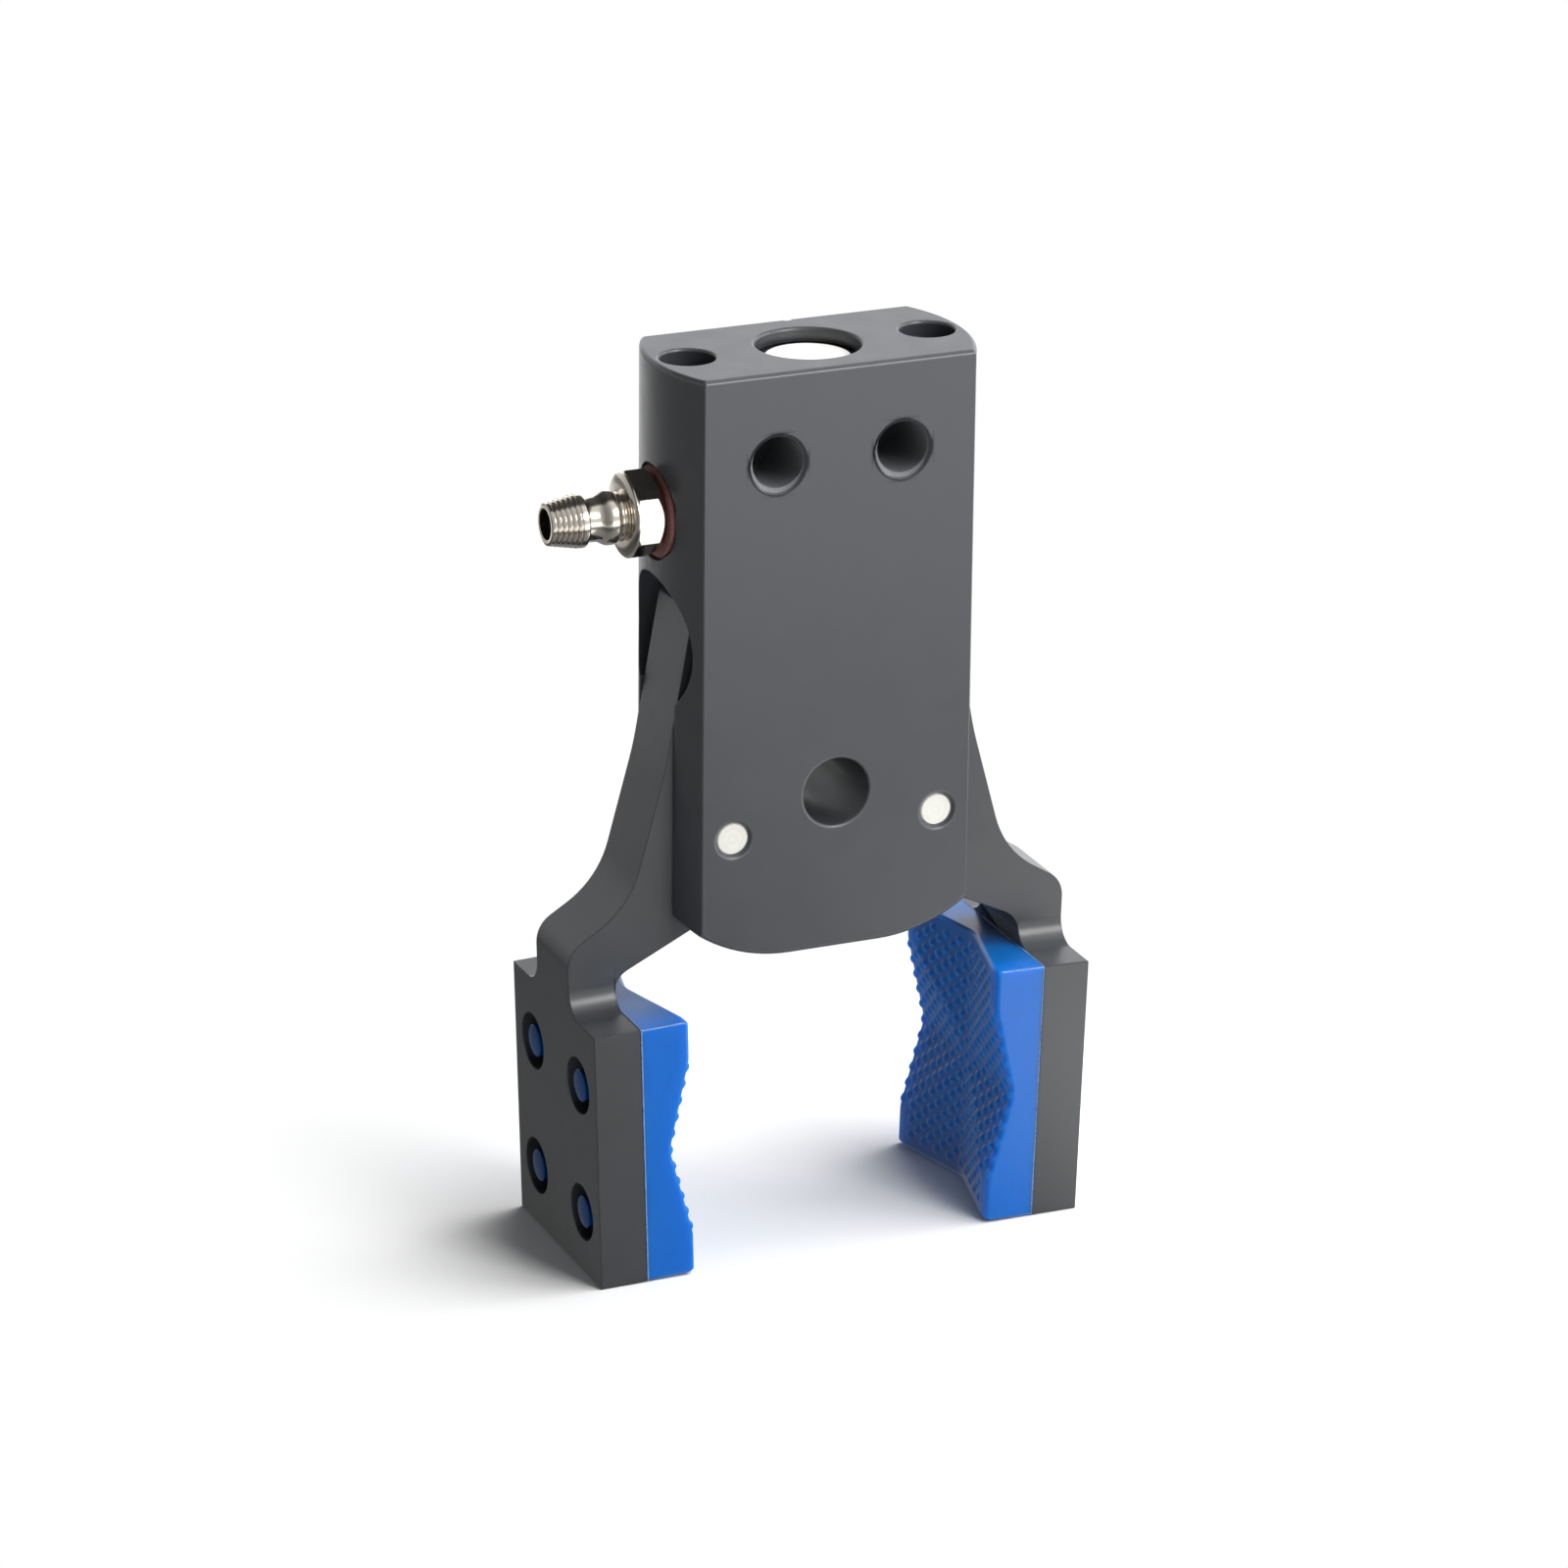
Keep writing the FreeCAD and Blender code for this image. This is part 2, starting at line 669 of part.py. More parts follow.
def finger(label, side):
    """Lever and jaw plate, milled from one piece."""
    body = new_body(label)
    lever = new_sketch(body, "XZ_Plane")
    corner = "lever_corner_radius"
    add_outline(lever, [
        ("lever_top_outer", "lever_top", corner),
        ("-lever_arm_across", "lever_top", corner),
        ("-lever_arm_across", "lever_arm_start", "lever_hub_height"),
        ("-lever_hub_across", "lever_hub_height", "lever_hub_height / 2"),
        ("-lever_hub_across", "-lever_hub_height", "lever_hub_height / 2"),
        ("-lever_toe_across", "-lever_toe_drop", corner),
        ("lever_heel_across", "-lever_heel_drop", "lever_heel_radius"),
        ("lever_heel_across", "-jaw_bottom_drop", "0"),
        (JAW_OUTER, "-jaw_bottom_drop", "0"),
        (JAW_OUTER, "-lever_shoulder_drop", "lever_shoulder_radius"),
        ("lever_elbow_across", "-lever_elbow_drop", "lever_elbow_radius"),
        ("lever_bend_across", "lever_bend_height", "lever_bend_radius"),
    ])
    pad(body, lever, LEVER_THICKNESS, both_ways=True)

    # Jaw plate, with a fillet up to the lever on both sides
    plate = new_sketch(body, "YZ_Plane", "lever_heel_across")
    half = "jaw_width / 2"
    side_face = "(%s) / 2" % LEVER_THICKNESS
    fillet_top = "-jaw_top_drop + 3 * jaw_fillet_radius / 2"
    add_outline(plate, [
        (half, "-jaw_bottom_drop", "0"), (half, "-jaw_top_drop", "0"),
        (side_face, "-jaw_top_drop", "jaw_fillet_radius"), (side_face, fillet_top, "0"),
        ("-(%s)" % side_face, fillet_top, "0"),
        ("-(%s)" % side_face, "-jaw_top_drop", "jaw_fillet_radius"),
        ("-" + half, "-jaw_top_drop", "0"), ("-" + half, "-jaw_bottom_drop", "0"),
    ])
    pad(body, plate, "jaw_thickness")

    # Holes for the pad's pegs, counterbored from outside
    holes = new_sketch(body, "YZ_Plane", "lever_heel_across")
    for across, level in PEG_PLACES:
        add_circle(holes, across, level, "peg_diameter + 2 * peg_clearance")
    pocket(body, holes, "jaw_thickness", backwards=True)
    mouths = new_sketch(body, "YZ_Plane", JAW_OUTER)
    for across, level in PEG_PLACES:
        add_circle(mouths, across, level, "counterbore_diameter")
    pocket(body, mouths, "counterbore_depth")

    # Seats of the bush and the contact pin
    seats = new_sketch(body, "XZ_Plane")
    add_circle(seats, "0", "0", "pivot_diameter + 2 * bush_wall")
    add_circle(seats, "-contact_pin_across", CONTACT_PIN_HEIGHT, "contact_pin_diameter")
    pocket(body, seats, "slot_width", both_ways=True)

    # Pocket that holds the end of the return spring
    seat = new_sketch(body, "XZ_Plane")
    floor = "spring_seat_depth - lever_arm_across"
    outside = "-lever_hub_across - %s" % BEYOND
    wall = SPRING_LEVEL + " + spring_outer_diameter / 2 + spring_play"
    add_outline(seat, sharp(
        (outside, SPRING_LEVEL), (floor, SPRING_LEVEL), (floor, wall), (outside, wall),
    ))
    add_axis(seat, "0", SPRING_LEVEL, "Horizontal")
    turn(body, seat, "Axis0", cuts=True)
    body.Placement = at_pivot(side)
    return body


def grip_pad(label, side):
    """Soft pad with two crossed grooves in its face, and the four pegs that hold it."""
    body = new_body(label)
    block = new_sketch(body, "YZ_Plane", "lever_heel_across - pad_thickness")
    half = "jaw_width / 2"
    add_outline(block, sharp(
        ("-" + half, "-jaw_bottom_drop"), (half, "-jaw_bottom_drop"), (half, "-jaw_top_drop"),
        ("-" + half, "-jaw_top_drop"),
    ))
    pad(body, block, "pad_thickness")
    pegs = new_sketch(body, "YZ_Plane", "lever_heel_across")
    for across, level in PEG_PLACES:
        add_circle(pegs, across, level, "peg_diameter")
    pad(body, pegs, "jaw_thickness - peg_end_inset")

    # One groove runs up the pad and one across it, both with straight slopes
    face = "lever_heel_across - pad_thickness"
    deep = face + " + pad_groove_depth"
    level = "-(jaw_bottom_drop + jaw_top_drop) / 2"
    slope_end = "pad_groove_width / 2"
    upward = new_sketch(body, "XY_Plane", "-jaw_bottom_drop")
    add_outline(upward, sharp((face, "-" + slope_end), (deep, "0"), (face, slope_end)))
    pocket(body, upward, "jaw_bottom_drop - jaw_top_drop", backwards=True)
    across = new_sketch(body, "XZ_Plane")
    add_outline(across, sharp(
        (face, "%s - %s" % (level, slope_end)), (deep, level), (face, "%s + %s" % (level, slope_end)),
    ))
    pocket(body, across, "jaw_width", both_ways=True)
    body.Placement = at_pivot(side)
    return body


def finger_bush(label, side):
    body = new_body(label)
    sketch = new_sketch(body, "XZ_Plane")
    add_circle(sketch, "0", "0", "pivot_diameter + 2 * bush_wall")
    add_circle(sketch, "0", "0", "pivot_diameter + 2 * pivot_clearance")
    pad(body, sketch, LEVER_THICKNESS, both_ways=True)
    body.Placement = at_pivot(side)
    return body


def cross_pin(label, side, across, level, diameter, length, angle):
    """Dowel with chamfered ends that lies along Y, placed with a finger's pivot."""
    body = new_body(label)
    sketch = new_sketch(body, "XY_Plane", level)
    wall = "%s + %s / 2" % (across, diameter)
    end = "(%s) / 2" % length
    add_outline(sketch, sharp(
        (across, "-(%s)" % end), (wall + " - pin_chamfer", "-(%s)" % end),
        (wall, "-(%s) + pin_chamfer" % end), (wall, "%s - pin_chamfer" % end),
        (wall + " - pin_chamfer", end), (across, end),
    ))
    add_axis(sketch, across, "0", "Vertical")
    turn(body, sketch, "Axis0")
    body.Placement = at_pivot(side, angle)
    return body


def pivot_pin(label, side):
    length = "body_across_flats - 2 * pivot_inset"
    return cross_pin(label, side, "0", "0", "pivot_diameter", length, "0")


def contact_pin(label, side):
    return cross_pin(label, side, "-contact_pin_across", CONTACT_PIN_HEIGHT, "contact_pin_diameter",
                     LEVER_THICKNESS, "finger_toe_in")


# Pistons, each turned about its own Z that points outwards along the cross bore


def in_cross_bore(side, distance="0"):
    """Place a piece on the cross bore's axis, its Z pointing to one side."""
    place = Vector(side * value(distance), 0, -value("cross_bore_drop"))
    return Placement(place, Rotation(Vector(0, 1, 0), 90 * side))


PISTON_START = "piston_half_gap + piston_boss_height"
PISTON_RADIUS = "cross_bore_diameter / 2 - piston_clearance"
CONTACT_PIN_REST = (
    PIVOT_REACH + " - contact_pin_across * cos(finger_toe_in * 1 deg)"
    " + (pivot_drop - cross_bore_drop) * sin(finger_toe_in * 1 deg)"
)
PISTON_END = CONTACT_PIN_REST + " - contact_pin_diameter / 2 - contact_gap"


def piston(label, side):
    """Piston with a stop boss inwards, a ring groove and a nose that meets the contact pin."""
    body = new_body(label)
    sketch = new_sketch(body, "XZ_Plane")
    boss = "piston_boss_diameter / 2"
    skirt = PISTON_START + " + piston_length"
    nose = "piston_nose_diameter / 2"
    groove_low = PISTON_START + " + piston_seal_start"
    groove_high = groove_low + " + piston_seal_width"
    root = "cross_bore_diameter / 2 - piston_seal_depth"
    edge = "piston_chamfer"
    add_outline(sketch, sharp(
        ("0", "piston_half_gap"), (boss, "piston_half_gap"), (boss, PISTON_START),
        (PISTON_RADIUS, PISTON_START), (PISTON_RADIUS, groove_low), (root, groove_low),
        (root, groove_high), (PISTON_RADIUS, groove_high),
        (PISTON_RADIUS, "%s - %s" % (skirt, edge)), ("%s - %s" % (PISTON_RADIUS, edge), skirt),
        (nose, skirt), (nose, PISTON_END), ("0", PISTON_END),
    ))
    turn(body, sketch)
    body.Placement = in_cross_bore(side)
    return body


def piston_seal(label, side):
    body = new_body(label)
    sketch = new_sketch(body, "XZ_Plane")
    inner = "cross_bore_diameter / 2 - piston_seal_depth"
    outer = "cross_bore_diameter / 2 - pivot_clearance"
    low = PISTON_START + " + piston_seal_start"
    high = low + " + piston_seal_width"
    rounding = "piston_seal_width / 3"
    add_outline(sketch, [
        (inner, low, rounding), (outer, low, rounding), (outer, high, rounding), (inner, high, rounding),
    ])
    turn(body, sketch)
    body.Placement = in_cross_bore(side)
    return body


# Return springs


def return_spring(label, side):
    """Open coil spring between its pocket in the web and the one in the lever."""
    wire = value("spring_wire_diameter")
    coil = value("(spring_outer_diameter - spring_wire_diameter) / 2")
    start = value("spring_wall / 2")
    lean = math.radians(value("finger_toe_in"))
    seat = value("spring_seat_depth - lever_arm_across")
    end = value(PIVOT_REACH) + seat * math.cos(lean) + value(SPRING_LEVEL) * math.sin(lean)
    length = end - start - wire - 2 * value("contact_gap")
    helix = Part.makeHelix(length / value("spring_turns"), length, coil)
    section = Part.Wire(Part.makeCircle(wire / 2, Vector(coil, 0, 0), Vector(0, 1, 0)))
    solid = Part.Wire(helix.Edges).makePipeShell([section], True, True)
    spring = doc.addObject("Part::Feature", label)
    spring.Label = label
    spring.Shape = solid
    place = Vector(side * (start + wire / 2 + value("contact_gap")), 0, value(SPRING_HEIGHT))
    spring.Placement = Placement(place, Rotation(Vector(0, 1, 0), 90 * side))
    return spring


pieces = [
    gripper_body(), end_plug(), plug_o_ring(), plug_retaining_ring(), fitting_washer(), hose_fitting(),
]
for name, side in (("left", LEFT), ("right", RIGHT)):
    pieces.append(piston("piston_" + name, side))
    pieces.append(piston_seal("piston_seal_" + name, side))
    pieces.append(finger("finger_" + name, side))
    pieces.append(grip_pad("pad_" + name, side))
    pieces.append(finger_bush("finger_bush_" + name, side))
    pieces.append(pivot_pin("pivot_pin_" + name, side))
    pieces.append(contact_pin("contact_pin_" + name, side))
    pieces.append(return_spring("return_spring_" + name, side))
doc.recompute()

for item in doc.Objects:
    if "Invalid" in item.State or "Error" in item.State:
        raise RuntimeError("%s failed: %s" % (item.Label, item.State))
for piece in pieces:
    if piece.Shape.isNull() or not piece.Shape.isValid() or not piece.Shape.Solids:
        raise RuntimeError("%s has no valid solid" % piece.Label)

os.makedirs("parts", exist_ok=True)
for piece in pieces:
    piece.Shape.exportStep("parts/%s.step" % piece.Label)
    print(piece.Label, round(piece.Shape.Volume, 1), len(piece.Shape.Solids))
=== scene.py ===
"""Pneumatic mini gripper, dressed for its looks.

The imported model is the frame. Pieces that the photograph shows in more detail than a CAD solid
holds are modelled over it and ride on its bodies. Everything is in metres.
"""
import math

import bpy
from bpy.props import FloatProperty, FloatVectorProperty, IntProperty, PointerProperty
from mathutils import Matrix, Vector


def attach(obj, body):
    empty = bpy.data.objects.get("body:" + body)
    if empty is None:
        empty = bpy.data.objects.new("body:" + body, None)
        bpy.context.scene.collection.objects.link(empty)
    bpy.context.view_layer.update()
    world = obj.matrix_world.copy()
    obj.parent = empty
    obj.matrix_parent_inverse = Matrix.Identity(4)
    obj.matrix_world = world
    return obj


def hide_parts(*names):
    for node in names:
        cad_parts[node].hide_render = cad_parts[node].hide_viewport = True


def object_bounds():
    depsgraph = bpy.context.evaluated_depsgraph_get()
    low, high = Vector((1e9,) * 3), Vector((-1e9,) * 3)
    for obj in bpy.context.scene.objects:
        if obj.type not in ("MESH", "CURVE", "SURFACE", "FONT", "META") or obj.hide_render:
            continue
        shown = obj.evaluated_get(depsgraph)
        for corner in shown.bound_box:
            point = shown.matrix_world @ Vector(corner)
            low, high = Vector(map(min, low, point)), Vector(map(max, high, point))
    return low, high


bl_info = {
    "name": "Mini Gripper",
    "version": (1, 0, 0),
    "blender": (4, 5, 0),
    "location": "View3D > Sidebar > Gripper",
    "description": "Dresses a pneumatic mini gripper with threads, grip pads and finishes",
    "category": "Object",
}

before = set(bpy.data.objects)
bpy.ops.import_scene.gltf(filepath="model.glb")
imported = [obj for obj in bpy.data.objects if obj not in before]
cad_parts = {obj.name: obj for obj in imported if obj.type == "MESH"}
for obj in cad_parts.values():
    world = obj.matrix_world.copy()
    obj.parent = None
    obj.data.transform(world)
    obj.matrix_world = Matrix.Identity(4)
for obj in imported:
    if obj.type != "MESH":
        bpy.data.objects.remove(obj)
CAD_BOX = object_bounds()
MM = 0.001
SIDES = (("left", -1), ("right", 1))


def length(name, description, millimetres, least=0.0):
    """Property for a length, in metres."""
    return FloatProperty(name=name, description=description, default=millimetres * MM,
                         min=least, subtype="DISTANCE", unit="LENGTH", precision=5)


def angle(name, description, degrees):
    """Property for an angle."""
    return FloatProperty(name=name, description=description, default=math.radians(degrees),
                         subtype="ANGLE", unit="ROTATION")


def colour(name, description, default):
    """Property for a linear colour."""
    return FloatVectorProperty(name=name, description=description, default=default, size=3,
                               min=0.0, max=1.0, subtype="COLOR")


def factor(name, description, default, top=1.0):
    """Property for a plain factor."""
    return FloatProperty(name=name, description=description, default=default, min=0.0, max=top,
                         subtype="FACTOR")


def watts(name, description, default):
    """Property for the power of a lamp."""
    return FloatProperty(name=name, description=description, default=default, min=0.0, unit="POWER")


class GripperShape(bpy.types.PropertyGroup):
    """Sizes of the modelled pieces."""
    edge: length("Edge", "Width of the broken edges of the milled pieces", 0.12)
    thread_pitch: length("Thread pitch", "Pitch of the tapped holes", 1.0)
    thread_drill: length("Thread drill", "Diameter that the tapped holes are drilled to", 5.0)
    thread_depth: length("Thread depth", "Depth of the thread's grooves", 0.5)
    front_hole_wide: length("Front hole wide", "Diameter of the front holes at their mouth", 5.34)
    lining_bore: length("Lining bore", "Diameter of the bore that the front holes show", 4.9)
    lining_slope: length("Lining slope", "Depth of the slope at the mouth of a lining", 0.45)
    lining_shift: length("Lining shift", "Distance of a lining's bore from its hole's axis", 0.22)
    lining_turn: angle("Lining turn", "Direction of that distance, from the right", 52.0)
    lining_length: length("Lining length", "Depth of the linings", 7.2)
    half_thickness: length("Half thickness", "Distance from the axis to a flat", 7.5)
    front_hole_reach: length("Front hole reach", "Distance of a front hole from the axis", 6.0)
    front_hole_drop: length("Front hole drop", "Depth of the front holes below the top face", 8.4)
    tapped_length: length("Tapped length", "Threaded length of a hole", 6.0)
    thread_start: length("Thread start", "Plain length of a hole above its thread", 2.4)
    top_hole_reach: length("Top hole reach", "Distance of a top hole from the axis", 11.6)
    pivot_reach: length("Pivot reach", "Distance of a pivot from the axis", 10.0)
    pivot_drop: length("Pivot drop", "Depth of the pivots below the top face", 43.2)
    toe_in: angle("Toe in", "Inward lean of a closed finger", 1.65)
    pad_back: length("Pad back", "Distance from a pivot to a pad's back face", 10.45)
    pad_thickness: length("Pad thickness", "Thickness of a grip pad", 4.72)
    pad_width: length("Pad width", "Width of a grip pad", 20.0)
    pad_top: length("Pad top", "Depth of a pad's top edge below the pivot", 15.6)
    pad_bottom: length("Pad bottom", "Depth of a pad's bottom edge below the pivot", 40.4)
    pad_edge: length("Pad edge", "Rounding of a pad's moulded edges", 0.2)
    pad_rim: length("Pad rim", "Rounding round a pad's gripping face", 0.4)
    valley_radius: length("Valley radius", "Radius at the bottom of a pad's grooves", 4.0)
    ridge_radius: length("Ridge radius", "Radius where a pad's grooves meet its flat corners", 2.5)
    groove_depth: length("Groove depth", "Depth of a pad's crossed grooves", 2.1)
    groove_width: length("Groove width", "Width of a pad's crossed grooves", 17.5)
    knob_pitch: length("Knob pitch", "Distance between two knobs of one column", 1.56)
    knob_column: length("Knob column", "Distance between two columns of knobs", 0.96)
    knob_width: length("Knob width", "Diameter of a knob", 0.94)
    knob_height: length("Knob height", "Height of a knob", 0.24)
    knob_clear: length("Knob clear", "Distance of the outer knobs from a pad's top and bottom", 1.1)
    face_step: length("Face step", "Fineness of a pad's gripping face", 0.13)
    seam_lip: length("Seam lip", "How far the seam round a pad's back stands out", 0.03)
    seam_width: length("Seam width", "Width of the seam round a pad's back", 0.13)
    peg_across: length("Peg across", "Distance between two pegs across a pad", 11.2)
    peg_up: length("Peg up", "Distance between two pegs up a pad", 12.55)
    peg_rise: length("Peg rise", "Height of the lower pegs above a pad's bottom edge", 5.95)
    peg_width: length("Peg width", "Diameter of a peg", 3.0)
    peg_length: length("Peg length", "Length of a peg behind a pad", 4.5)
    peg_dome: length("Peg dome", "Height of a peg's domed end", 0.2)
    port_drop: length("Port drop", "Depth of the air port below the top face", 13.9)
    port_seat: length("Port seat", "Distance of the port's seat from the axis", 14.3)
    washer_width: length("Washer width", "Diameter of the sealing washer", 8.3)
    washer_height: length("Washer height", "Thickness of the sealing washer", 0.5)
    hexagon_width: length("Hexagon width", "Width across the fitting's flats", 7.0)
    hexagon_height: length("Hexagon height", "Height of the fitting's hexagon", 2.8)
    hexagon_turn: angle("Hexagon turn", "Turn of the fitting's hexagon", 4.0)
    turned_steps: IntProperty(name="Turned steps", description="Segments of a turned piece",
                              default=96, min=12, max=256)


class GripperFinish(bpy.types.PropertyGroup):
    """Colours of the finishes."""
    body: colour("Body", "Anodised body", (0.041, 0.0445, 0.052))
    finger: colour("Finger", "Anodised fingers", (0.045, 0.049, 0.054))
    # The body's broken edges are coloured lighter than its faces: partly wear where the anodising is thin,
    # partly a painted highlight along the edges.
    edge: colour("Edge", "Anodised edges where the finish is thin", (0.07, 0.074, 0.08))
    # Painted shade: the fingers' broken edges are coloured darker than their faces, to dim the light lines
    # they catch.
    finger_edge: colour("Finger edge", "Broken edges of the fingers", (0.035, 0.0375, 0.042))
    # Painted shade: how much darker the pads are coloured away from their thin edges, where light comes
    # through.
    pad_core: colour("Pad core", "Tint of the pads away from their thin edges", (1.0, 0.8, 0.72))
    # Painted shade: the pegs are the pads' blue made darker, for the shade they sit in within their
    # counterbores.
    peg: colour("Peg", "Pegs of the grip pads", (0.0, 0.04, 0.16))
    bare: colour("Bare", "Slopes at the mouths of the front holes", (0.19, 0.193, 0.2))
    # Painted light: the inside of the front holes is coloured lighter than the body, for light that barely
    # reaches into them.
    hollow: colour("Hollow", "Inside of the front holes", (0.17, 0.175, 0.19))
    pad: colour("Pad", "Moulded grip pads", (0.0, 0.145, 0.56))
    # The seam round a pad's back is pale as a moulded seam; the same pale colour is a painted highlight on
    # the pads' rounded corner edges.
    pad_seam: colour("Pad seam", "Moulded seam round a pad's back", (0.19, 0.31, 0.62))
    nickel: colour("Nickel", "Plated fitting", (0.80, 0.735, 0.645))
    washer: colour("Washer", "Fibre washer", (0.20, 0.075, 0.065))
    plug: colour("Plug", "Turned end plug", (0.89, 0.87, 0.84))
    ring: colour("Ring", "Blackened snap ring", (0.02, 0.021, 0.023))
    pin: colour("Pin", "Ground steel pins", (0.87, 0.86, 0.79))
    bush: colour("Bush", "Sintered bronze bushes", (0.52, 0.34, 0.16))
    piston: colour("Piston", "Turned brass pistons", (0.72, 0.53, 0.25))
    seal: colour("Seal", "Rubber seals", (0.018, 0.018, 0.019))
    spring: colour("Spring", "Drawn steel springs", (0.55, 0.54, 0.52))


class GripperStage(bpy.types.PropertyGroup):
    """Camera, lamps and floor."""
    azimuth: angle("Azimuth", "Camera's turn about the object", -23.55645)
    elevation: angle("Elevation", "Camera's height angle", 20.75596)
    roll: angle("Roll", "Camera's turn about its own axis", 0.56429)
    distance: length("Distance", "Distance of the camera", 619.24651)
    shift_right: length("Shift right", "Camera's place to the right", -1.35553, least=-1.0)
    shift_up: length("Shift up", "Camera's place upwards", 39.41072, least=-1.0)
    lens: FloatProperty(name="Lens", description="Focal length of the camera, in millimetres",
                        default=152.573, min=1.0)
    key_power: watts("Key power", "Power of the softbox on the right", 8.0)
    fill_power: watts("Fill power", "Power of the softbox in front", 1.9)
    glint_power: watts("Glint power", "Power of the small softbox on the right", 0.36)
    ambient: factor("Ambient", "Level of the soft light from all around", 0.6, 4.0)
    mirrored: factor("Mirrored", "Level of the surroundings in reflections", 1.25, 4.0)
    floor_tone: factor("Floor tone", "Reflectance of the floor", 0.95)


# Selecting and placing


def start_alone():
    """Leave edit mode and deselect everything."""
    if bpy.context.object and bpy.context.object.mode != "OBJECT":
        bpy.ops.object.mode_set(mode="OBJECT")
    bpy.ops.object.select_all(action="DESELECT")


def work_on(*pieces):
    """Select these pieces alone, the first one active."""
    start_alone()
    for piece in pieces:
        piece.select_set(True)
    bpy.context.view_layer.objects.active = pieces[0]


def pick(piece, kind, test):
    """Select the elements of a mesh that pass a test, and go to edit mode."""
    work_on(piece)
    bpy.ops.object.mode_set(mode="EDIT")
    bpy.ops.mesh.select_mode(type={"vertices": "VERT", "edges": "EDGE"}[kind])
    bpy.ops.mesh.select_all(action="DESELECT")
    bpy.ops.object.mode_set(mode="OBJECT")
    for element in getattr(piece.data, kind):
        element.select = test(element)
    bpy.ops.object.mode_set(mode="EDIT")


def edit_all(piece):
    """Go to edit mode with the whole mesh of a piece selected."""
    work_on(piece)
    bpy.ops.object.mode_set(mode="EDIT")
    bpy.ops.mesh.select_all(action="SELECT")


def leave_edit():
    """Go back to object mode."""
    bpy.ops.object.mode_set(mode="OBJECT")


def place(piece, matrix):
    """Bring a piece to its place, which its mesh then holds."""
    piece.matrix_world = matrix
    work_on(piece)
    bpy.ops.object.transform_apply(location=True, rotation=True, scale=True)


def apply_all(piece):
    """Apply the modifiers of a piece in their order."""
    work_on(piece)
    for modifier in list(piece.modifiers):
        bpy.ops.object.modifier_apply(modifier=modifier.name)


def tidy_mesh(piece):
    """Merge the doubles of a new mesh and point its faces outwards."""
    edit_all(piece)
    bpy.ops.mesh.remove_doubles(threshold=1e-6)
    bpy.ops.mesh.normals_make_consistent(inside=False)
    leave_edit()


def close_ends(piece, threshold=1e-6):
    """Merge the doubles of a mesh in edit mode, fill its open ends and point its faces outwards."""
    bpy.ops.mesh.select_all(action="SELECT")
    bpy.ops.mesh.remove_doubles(threshold=threshold)
    bpy.ops.mesh.select_all(action="DESELECT")
    bpy.ops.mesh.select_mode(type="VERT")
    bpy.ops.mesh.select_non_manifold()
    bpy.ops.mesh.fill_holes(sides=0)
    leave_edit()
    tidy_mesh(piece)


def copy_node(node, name):
    """Copy a CAD node, its loose triangles merged into whole faces."""
    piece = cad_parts[node].copy()
    piece.data = piece.data.copy()
    piece.name = name
    piece.parent = None
    piece.matrix_world = Matrix.Identity(4)
    bpy.context.scene.collection.objects.link(piece)
    piece.hide_render = False
    work_on(piece)
    bpy.ops.mesh.customdata_custom_splitnormals_clear()
    edit_all(piece)
    bpy.ops.mesh.remove_doubles(threshold=1e-6)
    bpy.ops.mesh.mark_sharp(clear=True)
    bpy.ops.mesh.dissolve_limited(angle_limit=math.radians(0.4))
    leave_edit()
    return piece


def break_edges(piece, width, limit=30.0, edge_slot=0):
    """Bevel the edges of a piece that turn by more than the limit."""
    bevel = piece.modifiers.new("broken_edges", "BEVEL")
    bevel.width = width
    bevel.segments = 2
    bevel.limit_method = "ANGLE"
    bevel.angle_limit = math.radians(limit)
    bevel.use_clamp_overlap = False
    bevel.miter_outer = "MITER_ARC"
    bevel.material = edge_slot
    apply_all(piece)


def shade(piece, limit=38.0):
    """Smooth the faces of a piece and let its large ones lead."""
    work_on(piece)
    bpy.ops.object.shade_smooth_by_angle(angle=math.radians(limit), keep_sharp_edges=False)
    weighted = piece.modifiers.new("large_faces_lead", "WEIGHTED_NORMAL")
    weighted.keep_sharp = True
    weighted.weight = 60
    apply_all(piece)


def cut(piece, cutter, operation="DIFFERENCE"):
    """Boolean a piece with a cutter, which is then deleted."""
    boolean = piece.modifiers.new("cut", "BOOLEAN")
    boolean.operation = operation
    boolean.solver = "EXACT"
    boolean.object = cutter
    apply_all(piece)
    bpy.data.objects.remove(cutter)


def join(pieces, name):
    """Join pieces into the first one."""
    work_on(*pieces)
    bpy.ops.object.join()
    pieces[0].name = name
    return pieces[0]


def paint(piece, *materials):
    """Give a piece its materials, the first one all over."""
    piece.data.materials.clear()
    for material in materials:
        piece.data.materials.append(material)


def turned(name, profile, steps):
    """Turn a profile of radius and height about Z, as a stack of extruded rings."""
    start_alone()
    radius, height = profile[0]
    bpy.ops.mesh.primitive_circle_add(vertices=steps, radius=radius, location=(0, 0, 0))
    piece = bpy.context.object
    piece.name = name
    edit_all(piece)
    bpy.ops.transform.translate(value=(0, 0, height))
    for next_radius, next_height in profile[1:]:
        bpy.ops.mesh.extrude_region_move(
            TRANSFORM_OT_translate={"value": (0, 0, next_height - height)})
        grow = next_radius / radius
        bpy.ops.transform.resize(value=(grow, grow, 1), center_override=(0, 0, next_height))
        radius, height = next_radius, next_height
    close_ends(piece)
    return piece


# Node groups and materials


